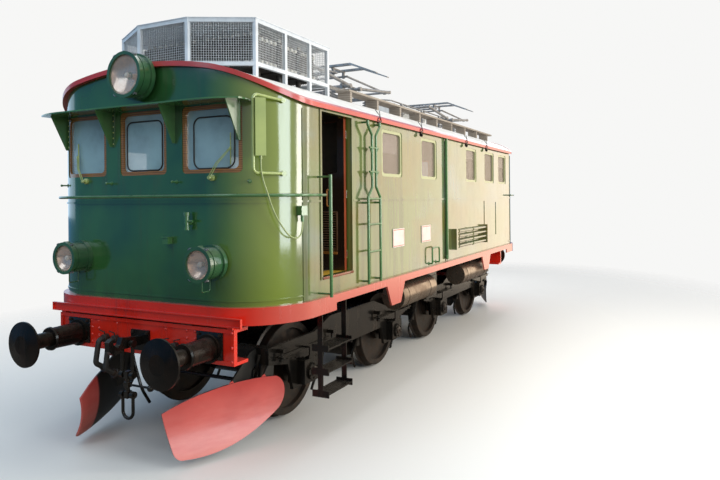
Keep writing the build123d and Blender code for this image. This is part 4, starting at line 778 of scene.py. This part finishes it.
# %% Places on the rounded end
corner_radius = 0.65
corner_side = 0.895
corner_front = 3.785


def on_end(y, z, depth=0):
    radius = corner_radius - depth
    bend = max(abs(y) - corner_side, 0)
    return Vector((corner_front + sqrt(radius ** 2 - bend ** 2), y, z))


def outward(y):
    bend = max(abs(y) - corner_side, 0)
    slope = bend / corner_radius
    return Vector((sqrt(1 - slope ** 2), slope if y > 0 else -slope, 0))


# %% Rubber seals on the panes
def rounded_loop(left, right, bottom, top, radius):
    loop = []
    for y, z, turn in ((right, top, 0), (left, top, 90), (left, bottom, 180), (right, bottom, 270)):
        middle_y = y - radius if y == right else y + radius
        middle_z = z - radius if z == top else z + radius
        for step in range(9):
            angle = radians(turn + 90 * step / 8)
            loop.append((middle_y + radius * cos(angle), middle_z + radius * sin(angle)))
    full = []
    for (y, z), (next_y, next_z) in zip(loop, loop[1:] + loop[:1]):
        pieces = max(1, int(abs(next_y - y) / 0.04))
        for step in range(pieces):
            share = step / pieces
            full.append((y + (next_y - y) * share, z + (next_z - z) * share))
    return full


pane_loops = ((-0.245, 0.235, 2.748, 3.236, 0.07), (0.64, 1.1, 2.745, 3.228, 0.08))
pane_depth = 0.028
seals = []
for loop in pane_loops:
    line = [on_end(y, z, pane_depth) for y, z in rounded_loop(*loop)]
    seals.append(rod(line, 0.0075, closed=True))
finish_ends(seals, "pane_seals", rubber)


# %% Wipers
def wiper(pivot, elbow, blade_bottom, blade_top):
    hub = turned([(0.03, 0), (0.03, 0.018), (0.02, 0.024), (0.013, 0.026), (0.013, 0.046), (0.019, 0.048),
                  (0.015, 0.058)], on_end(*pivot), outward(pivot[0]), 16)
    parts = [hub]
    off_wall = outward(pivot[0])
    off_pane = outward(elbow[0])
    for shift in (-0.011, 0.011):
        start = on_end(pivot[0] + shift, pivot[1]) + off_wall * 0.05
        bow = on_end((pivot[0] + elbow[0]) / 2 + shift, (pivot[1] + elbow[1]) / 2) + off_wall * 0.044
        end = on_end(elbow[0] + shift * 0.6, elbow[1], 0.03) + off_pane * 0.03
        parts.append(rod([start, bow, end], 0.0042))
    middle = on_end(elbow[0], (blade_bottom + blade_top) / 2, 0.03) + off_pane * 0.016
    blade = block((0.012, 0.009, blade_top - blade_bottom), (0, 0, 0), 0.003)
    clip = block((0.022, 0.02, 0.03), (0.008, 0, 0), 0.004)
    angle = atan2(off_pane.y, off_pane.x)
    parts.append(copies(join([blade, clip]), [at(*middle) @ spun(angle, "Z")]))
    return join(parts)


wipers = [
    wiper((0.89, 2.655), (1.068, 2.925), 2.775, 3.072),
    wiper((-0.812, 2.655), (-0.955, 2.915), 2.77, 3.055),
]
# Painted highlight: the wipers take the pale green paint because they look pale where light falls on them.
finish_ends(wipers, "window_wipers", pale_green_paint)

# %% Studs under the windows
studs = []
for y, z in ((0.444, 2.625), (1.241, 2.619), (-0.444, 2.625), (-1.241, 2.619)):
    studs.append(turned([(0.02, 0), (0.02, 0.006), (0.008, 0.008), (0.008, 0.05), (0.013, 0.054),
                         (0.013, 0.066), (0.006, 0.072)], on_end(y, z), outward(y), 12))
finish_ends(studs, "end_wall_studs", trim_green_paint)

# %% [markdown]
# ## Rivets and bolts
#
# A rivet head is four rings of ten points, and a bolt is a hexagon with its thread end. Each is
# made once, aimed outward from its sheet, and copied.


# %% Rivet and bolt patterns
def rivet(towards, size=0.014):
    steps = ((1, 0), (0.95, 0.35), (0.7, 0.65), (0.25, 0.8))
    return turned([(size * radius, size * height) for radius, height in steps], (0, 0, 0), towards, 10)


def hexagon_bolt(towards, size=0.017):
    steps = ((1, 0), (1, 0.7), (0.55, 0.72), (0.5, 1.3))
    return turned([(size * radius, size * height) for radius, height in steps], (0, 0, 0), towards, 6)


# %% Rivets on the buffer beams
beam_face = 4.473
buffer_y = 0.88
rivet_places = [at(beam_face, side * y, z) for side in (1, -1) for y in (0.598, 0.698)
                for z in (0.998, 1.072, 1.146, 1.218)]
rivet_places += [at(beam_face, side * 0.33, 1.212) for side in (1, -1)]
rivet_places += [at(4.487, side * 1.148, z) for side in (1, -1) for z in (0.975, 1.105, 1.24)]
rivets = copies(rivet(forward), rivet_places)
finish_ends([rivets], "beam_rivets", red_paint)

# %% Buffer base plates and bolts
plate_size = (0.016, 0.31, 0.252)
plates = [block(plate_size, (beam_face + 0.008, side * buffer_y, 1.1055), 0.004) for side in (1, -1)]
finish_ends(plates, "buffer_base_plates", black_paint)
bolt_places = [at(beam_face + 0.016, side * buffer_y + dy, z) for side in (1, -1) for dy in (-0.125, 0.125)
               for z in (1.002, 1.208)]
bolt_places += [at(4.493, y, z) for y in (-0.095, 0.095) for z in (1.003, 1.153)]
bolts = copies(hexagon_bolt(forward), bolt_places)
finish_ends([bolts], "beam_bolts", wheel_steel)

# %% Flanges and rivets of the visor gussets
flanges, flange_rivets = [], []
for y in (-1.17, -0.425, 0.425, 1.17):
    inner = y - 0.022 if y > 0 else y + 0.022
    angle = atan2(outward(inner).y, outward(inner).x)
    strip = block((0.006, 0.04, 0.34), (0.003, 0, 0), 0.0015, 1)
    place = at(*on_end(inner, 3.172)) @ spun(angle, "Z")
    flanges.append(copies(strip, [place]))
    heads = [place @ at(0.006, 0, -0.145 + 0.058 * step) for step in range(6)]
    flange_rivets.append(copies(rivet(forward, 0.008), heads))
finish_ends(flanges, "visor_flanges", dark_green_paint)
finish_ends(flange_rivets, "visor_flange_rivets", pale_green_paint)

# %% Bolts on the axlebox lids
axle_places = (0.95, 3.15)
axle_height = 0.548
lid_face = 1.147
lid_bolt_circle = 0.078
bogies = (("front", 1), ("rear", -1))
for end, sign in bogies:
    lid_bolts = {1: [], -1: []}
    caps = []
    for x in axle_places:
        for side in (1, -1):
            for step in range(6):
                angle = radians(30 + 60 * step)
                lid_bolts[side].append(at(sign * x + lid_bolt_circle * cos(angle), side * lid_face,
                                          axle_height + lid_bolt_circle * sin(angle)))
            caps.append(turned([(0.052, 0), (0.05, 0.01), (0.03, 0.018), (0.018, 0.02), (0.016, 0.034)],
                               (sign * x, side * lid_face, axle_height), (0, side, 0), 20))
    bolts = [copies(hexagon_bolt((0, side, 0), 0.011), lid_bolts[side]) for side in (1, -1)]
    finish_piece(join(bolts + caps), f"axlebox_lid_bolts_{end}", wheel_steel, f"bogie_{end}")

# %% [markdown]
# ## Pipes below the floor
#
# Sanding pipes come down before and behind each wheel. The brake pipes run along under the deck,
# held by clamps.


# %% Sanding pipes and brake pipes
def bent(points, bend=0.35):
    line = [Vector(points[0])]
    for before, corner, after in zip(points, points[1:], points[2:]):
        before, corner, after = Vector(before), Vector(corner), Vector(after)
        reach = bend * min((corner - before).length, (after - corner).length)
        start = corner + (before - corner).normalized() * reach
        end = corner + (after - corner).normalized() * reach
        for step in range(7):
            share = step / 6
            line.append(start.lerp(corner, share).lerp(corner.lerp(end, share), share))
    return line + [Vector(points[-1])]


for end, sign in bogies:
    pipes = []
    for axle in axle_places:
        for way in (1, -1):
            for side in (1, -1):
                x = sign * (axle + way * 0.665)
                toe = sign * (axle + way * 0.56)
                route = [(x, side * 0.92, 0.86), (x, side * 0.86, 0.6), (x, side * 0.74, 0.3),
                         (toe, side * 0.735, 0.12)]
                pipes.append(rod(bent(route), 0.017))
    finish_piece(join(pipes), f"sanding_pipes_{end}", black_paint, f"bogie_{end}")
lines = []
for side in (1, -1):
    for y, z, reach in ((1.33, 1.398, 3), (1.275, 1.392, 2.9), (0.45, 1.385, 4.3)):
        lines.append(rod([(-reach, side * y, z), (reach, side * y, z)], 0.018))
    clamp = block((0.03, 0.15, 0.008), (0, side * 1.3, 1.376), 0.003)
    lines.append(copies(clamp, [at(x, 0, 0) for x in (-2.2, -1.5, -0.45, 0.45, 1.5, 2.2)]))
finish_piece(join(lines), "brake_pipes", black_paint)

# %% Couplings of the air hoses
heads = []
for y, drop in ((0.33, 0.15), (0.47, 0.11)):
    for side in (1, -1):
        end_place = Vector((4.527, side * y, 0.94 - drop - 0.06))
        heads.append(turned([(0.03, -0.02), (0.034, -0.016), (0.034, 0.012), (0.046, 0.016), (0.046, 0.04),
                             (0.03, 0.046)], end_place, (-0.832, 0, -0.555), 16))
        heads.append(turned([(0.033, 0), (0.04, 0.006), (0.04, 0.05), (0.031, 0.056)],
                            (4.476, side * y, 1.06), forward, 16))
        lever = [(4.51, side * y, 1.095), (4.512, side * y, 1.12), (4.512, side * (y + 0.07), 1.135)]
        heads.append(rod(lever, 0.006))
finish_ends(heads, "hose_couplings", wheel_steel)

# %% [markdown]
# ## Doors
#
# The left door stands open and shows its outer face: a panel of louvres with a rail and an upright
# handle. The right door is shut. Its pieces are copies, turned about the hinge and by a half turn.


# %% Louvres, rails and handles of the doors
door_face = 3.054
panel_y = 1.19
slat = block((0.012, 0.4, 0.007), (0, 0, 0), 0.002)
tilt = spun(radians(35), "Y")
slats = copies(slat, [at(door_face + 0.007, panel_y, 1.905 + 0.0265 * step) @ tilt for step in range(15)])
border = [block((0.016, 0.43, 0.02), (door_face + 0.006, panel_y, z), 0.004) for z in (1.885, 2.3)]
border += [block((0.016, 0.02, 0.415), (door_face + 0.006, y, 2.0925), 0.004) for y in (0.982, 1.398)]
louvres = join([slats] + border)
handle_route = [(door_face, 1.3, 2.37), (door_face + 0.05, 1.3, 2.37),
                (door_face + 0.05, 1.3, 2.55), (door_face, 1.3, 2.55)]
handle = rod(bent(handle_route, 0.3), 0.008)
trim = block((0.014, 0.024, 0.56), (door_face + 0.005, 0.945, 2.16), 0.004)
low_rail = block((0.02, 0.43, 0.03), (door_face + 0.008, panel_y, 1.85), 0.006)
knob = turned([(0.03, 0), (0.03, 0.006), (0.012, 0.01), (0.012, 0.04), (0.022, 0.044), (0.026, 0.056),
               (0.02, 0.068)], (door_face, 0.95, 2.48), forward, 20)
brass = join([handle, trim, low_rail, knob])
hinge = Vector((2.997, 1.485, 0))
to_shut_door = half_turn @ at(*hinge) @ spun(pi / 2, "Z") @ at(*-hinge)


def on_both_doors(piece, name, material):
    other = settle(piece).copy()
    other.data = piece.data.copy()
    other.matrix_world = to_shut_door
    finish_piece(piece, name + "_left", material, "door_left")
    finish_piece(linked(other), name + "_right", material, "door_right")


on_both_doors(louvres, "door_louvres", louvre_paint)
on_both_doors(brass, "door_rails", handle_brass)

# %% Door sills
sill = block((0.622, 0.02, 0.026), (3.29, 1.554, 1.644), 0.004)
finish_ends([sill], "door_sills", door_paint)

# %% [markdown]
# ## Small things on the side
#
# Two blank plates with a red border, ribs, grab irons low on the wall, and black hooks with wires
# under the eaves. The front face of a plate is inset twice, and the ring between the insets takes
# the second material.

# %% Blank plates
plate_centres = (1.78, 0.85)
plate_width, plate_height, plate_z = 0.34, 0.236, 1.94
plate_bevel, margin, border = 0.002, 0.008, 0.01
to_ring = plate_bevel + margin + border / 2
ring_aside = plate_width / 2 - to_ring
ring_up = plate_height / 2 - to_ring
plates = []
for x in plate_centres:
    plate = only(block((plate_width, 0.01, plate_height), (x, 1.5505, plate_z), plate_bevel))
    bpy.ops.object.mode_set(mode="EDIT")
    bpy.ops.mesh.select_mode(type="FACE")
    bpy.ops.mesh.select_all(action="DESELECT")
    edit = bmesh.from_edit_mesh(plate.data)
    for face in edit.faces:
        face.select = face.normal.y > 0.99 and face.calc_area() > 0.01
    bmesh.update_edit_mesh(plate.data)
    bpy.ops.mesh.inset(thickness=margin, depth=0)
    bpy.ops.mesh.inset(thickness=border, depth=0)
    bpy.ops.object.mode_set(mode="OBJECT")
    plates.append(plate)
plate_piece = finish_piece(join(plates), "side_plates", white_paint)
plate_piece.data.materials.append(red_paint)
for face in plate_piece.data.polygons:
    aside = min(abs(face.center.x - x) for x in plate_centres)
    up = abs(face.center.z - plate_z)
    if face.normal.y > 0.99 and min(abs(aside - ring_aside), abs(up - ring_up)) < 0.002:
        face.material_index = 1

# %% Upright ribs
rib = block((0.045, 0.036, 1.88), (0.06, 1.573, 2.44), 0.006)
foot = block((0.07, 0.03, 0.06), (0.06, 1.57, 1.53), 0.006)
finish_ends([rib, foot], "side_ribs", trim_green_paint)

# %% Grab irons low on the side walls
wall_y, grab_y, foot_z, grab_z = 1.545, 1.6, 1.5, 1.725
grab_ends = (0.745, 0.47)
near, far = grab_ends
route = [(near, wall_y, foot_z), (near, grab_y, foot_z), (near, grab_y, grab_z),
         (far, grab_y, grab_z), (far, grab_y, foot_z), (far, wall_y, foot_z)]
grab = rod(bent(route, 0.28), 0.012)
feet = [turned([(0.026, 0), (0.026, 0.006), (0.016, 0.01)], (x, wall_y, foot_z), (0, 1, 0), 12)
        for x in grab_ends]
finish_ends([grab] + feet, "side_grab_irons", trim_green_paint)

# %% Hooks and wires under the eaves
hooks, wires = [], []
for x in (2.377, 1.09, -0.861, -2.022):
    hook = block((0.1, 0.034, 0.012), (x, 1.58, 3.372), 0.003)
    web = block((0.012, 0.03, 0.06), (x, 1.577, 3.338), 0.003)
    eye = turned([(0.016, -0.008), (0.022, -0.004), (0.022, 0.004), (0.016, 0.008)],
                 (x, 1.592, 3.318), forward, 12)
    hooks += [hook, web, eye]
    for lean in (0.055, -0.055):
        wires.append(rod([(x - lean, 1.592, 3.37), (x, 1.6, 3.43), (x + lean, 1.565, 3.5)], 0.0045))
finish_ends(hooks, "eave_hooks", black_paint)
finish_ends(wires, "eave_wires", rubber)

# %% Blinds in the side windows
blind_top, blind_y, blind_pitch = 3.262, 1.486, 0.048
blinds = []
for x, width, low in ((1.935, 0.52, 3.02), (-1.24, 0.5, 3.12), (-3.245, 0.5, 3.06)):
    height = blind_top - low
    blinds.append(block((width, 0.006, height), (x, blind_y, low + height / 2), 0.002))
    for step in range(int(height / blind_pitch) + 1):
        blinds.append(block((width, 0.012, 0.012), (x, blind_y, low + 0.004 + blind_pitch * step), 0.003))
finish_ends(blinds, "sliding_sun_blinds", blind_paint)

# %% [markdown]
# ## Springs of the pantographs and clamps of the cooler
#
# The raising springs lie flat in the base of each pantograph: a wire wound along the X axis as a
# helix. They are at rest length and do not move with the arms.

# %% Pantograph springs
spring_z, spring_length, spring_radius, turns, steps_a_turn = 3.965, 0.42, 0.028, 16, 14
steps = turns * steps_a_turn
springs = []
for centre in (1.05, -2.95):
    for y in (-0.21, 0.21):
        wire = []
        for step in range(steps + 1):
            share = step / steps
            angle = 2 * pi * turns * share
            wire.append((centre + spring_length * (share - 0.5), y + spring_radius * cos(angle),
                         spring_z + spring_radius * sin(angle)))
        springs.append(rod(wire, 0.0045, resolution=1))
        springs.append(rod([(centre - 0.42, y, spring_z), (centre + 0.42, y, spring_z)], 0.009))
finish_piece(join(springs), "pantograph_springs", grey_steel)

# %% Clamps of the side cooler
clamps = []
for z in (1.665, 1.745, 1.825, 1.905):
    ring = turned([(0.022, 0), (0.031, 0.001), (0.031, 0.005), (0.022, 0.006)], (0, 1.605, z), forward, 14)
    clamps.append(copies(ring, [at(-1.84 + 0.735 * step, 0, 0) for step in range(3)]))
finish_ends(clamps, "cooler_clamps", green_paint)

# %% [markdown]
# ## Light and floor
#
# Large area lamps give a soft light from the left, from ahead and from above, and a pale world
# fills the shadows. The floor is pale to the camera and darker to the paint above it, and fades
# out away from the vehicle.

# %% Floor
deselect()
bpy.ops.mesh.primitive_plane_add(size=80, location=(0, 0, -0.002))
floor = bpy.context.object
floor.name = "studio_floor"
floor_material, tree, shader = new_material("pale_floor")
eye = add_node(tree, "LightPath").outputs["Is Camera Ray"]
feed(tree, shader["Base Color"], add_mix(tree, eye, (0.26, 0.22, 0.18, 1), (0.8, 0.78, 0.75, 1)))
shader["Roughness"].default_value = 0.6
reach = add_node(tree, "VectorMath", operation="LENGTH")
feed(tree, reach.inputs[0], stretched(tree, coordinates(tree), (0.11, 0.17, 1)))
feed(tree, shader["Alpha"], add_range(tree, reach.outputs["Value"], 0.75, 1.5, 1, 0))
floor.data.materials.append(floor_material)

# %% [markdown]
# Gloss paint shows what it reflects, so the world is warm and bright on the left side of the
# vehicle, cool and dim on the right, dark below and brighter behind the rear end.

# %% World
world = bpy.data.worlds.new("pale_surroundings")
scene.world = world
world.use_nodes = True
sky = world.node_tree
background = sky.nodes["Background"]
heading = axes_of(sky, coordinates(sky, "Generated"))
left_side = add_range(sky, heading["Y"], -0.25, 0.75)
around = add_mix(sky, left_side, (0.08, 0.22, 0.4, 1), (0.95, 0.88, 0.74, 1))
below = add_range(sky, heading["Z"], -0.02, -0.2)
around = add_mix(sky, below, around, (0.06, 0.055, 0.04, 1))
far_end = times(sky, add_range(sky, heading["X"], -0.45, -0.9), add_range(sky, heading["Y"], 0.05, 0.25))
around = add_mix(sky, far_end, around, (2.1, 1.75, 1.35, 1))
ceiling = add_range(sky, heading["Z"], 0.25, 0.95, 0, 0.6)
around = add_mix(sky, ceiling, around, (0.62, 0.64, 0.66, 1))
rays = add_node(sky, "LightPath")
seen = add_math(sky, "MAXIMUM", rays.outputs["Is Camera Ray"], rays.outputs["Is Transmission Ray"])
feed(sky, background.inputs["Color"], add_mix(sky, seen, around, (0.93, 0.93, 0.92, 1)))


# %% Lamps
def area_lamp(name, place, target, size, power, colour=(1, 1, 1)):
    data = bpy.data.lights.new(name, "AREA")
    data.shape = "RECTANGLE"
    data.size, data.size_y = size
    data.energy = power
    data.color = colour
    lamp = linked(bpy.data.objects.new(name, data))
    turn = (Vector(target) - Vector(place)).to_track_quat("-Z", "Y")
    lamp.matrix_world = at(*place) @ turn.to_matrix().to_4x4()


warm, cool = (1, 0.96, 0.88), (0.84, 0.94, 1)
left_lamps = ((-4, 1.6, 115, warm), (0.5, 2, 280, warm), (4.6, 2.8, 300, cool))
for number, (x, width, power, colour) in enumerate(left_lamps, start=1):
    area_lamp(f"left_lamp_{number}", (x, 8.5, 3.6), (x - 1.5, 0, 1.8), (width, 4.6), power, colour)
area_lamp("ceiling_front", (8.5, -1.5, 6.5), (3.5, 0, 1.5), (4, 4), 110, (0.7, 0.88, 1))
area_lamp("ceiling_over", (0, 0, 9), (0, 0, 0), (12, 5), 420)
area_lamp("right_fill", (2, -8.5, 4), (0, 0, 1.6), (9, 4), 90, (0.75, 0.9, 1))
area_lamp("rear_fill", (-9, -1.6, 4.5), (-3.5, 0, 1.8), (5, 4), 150)

# %% [markdown]
# ## Finish

# %% Finish
scene.view_settings.view_transform = "Standard"
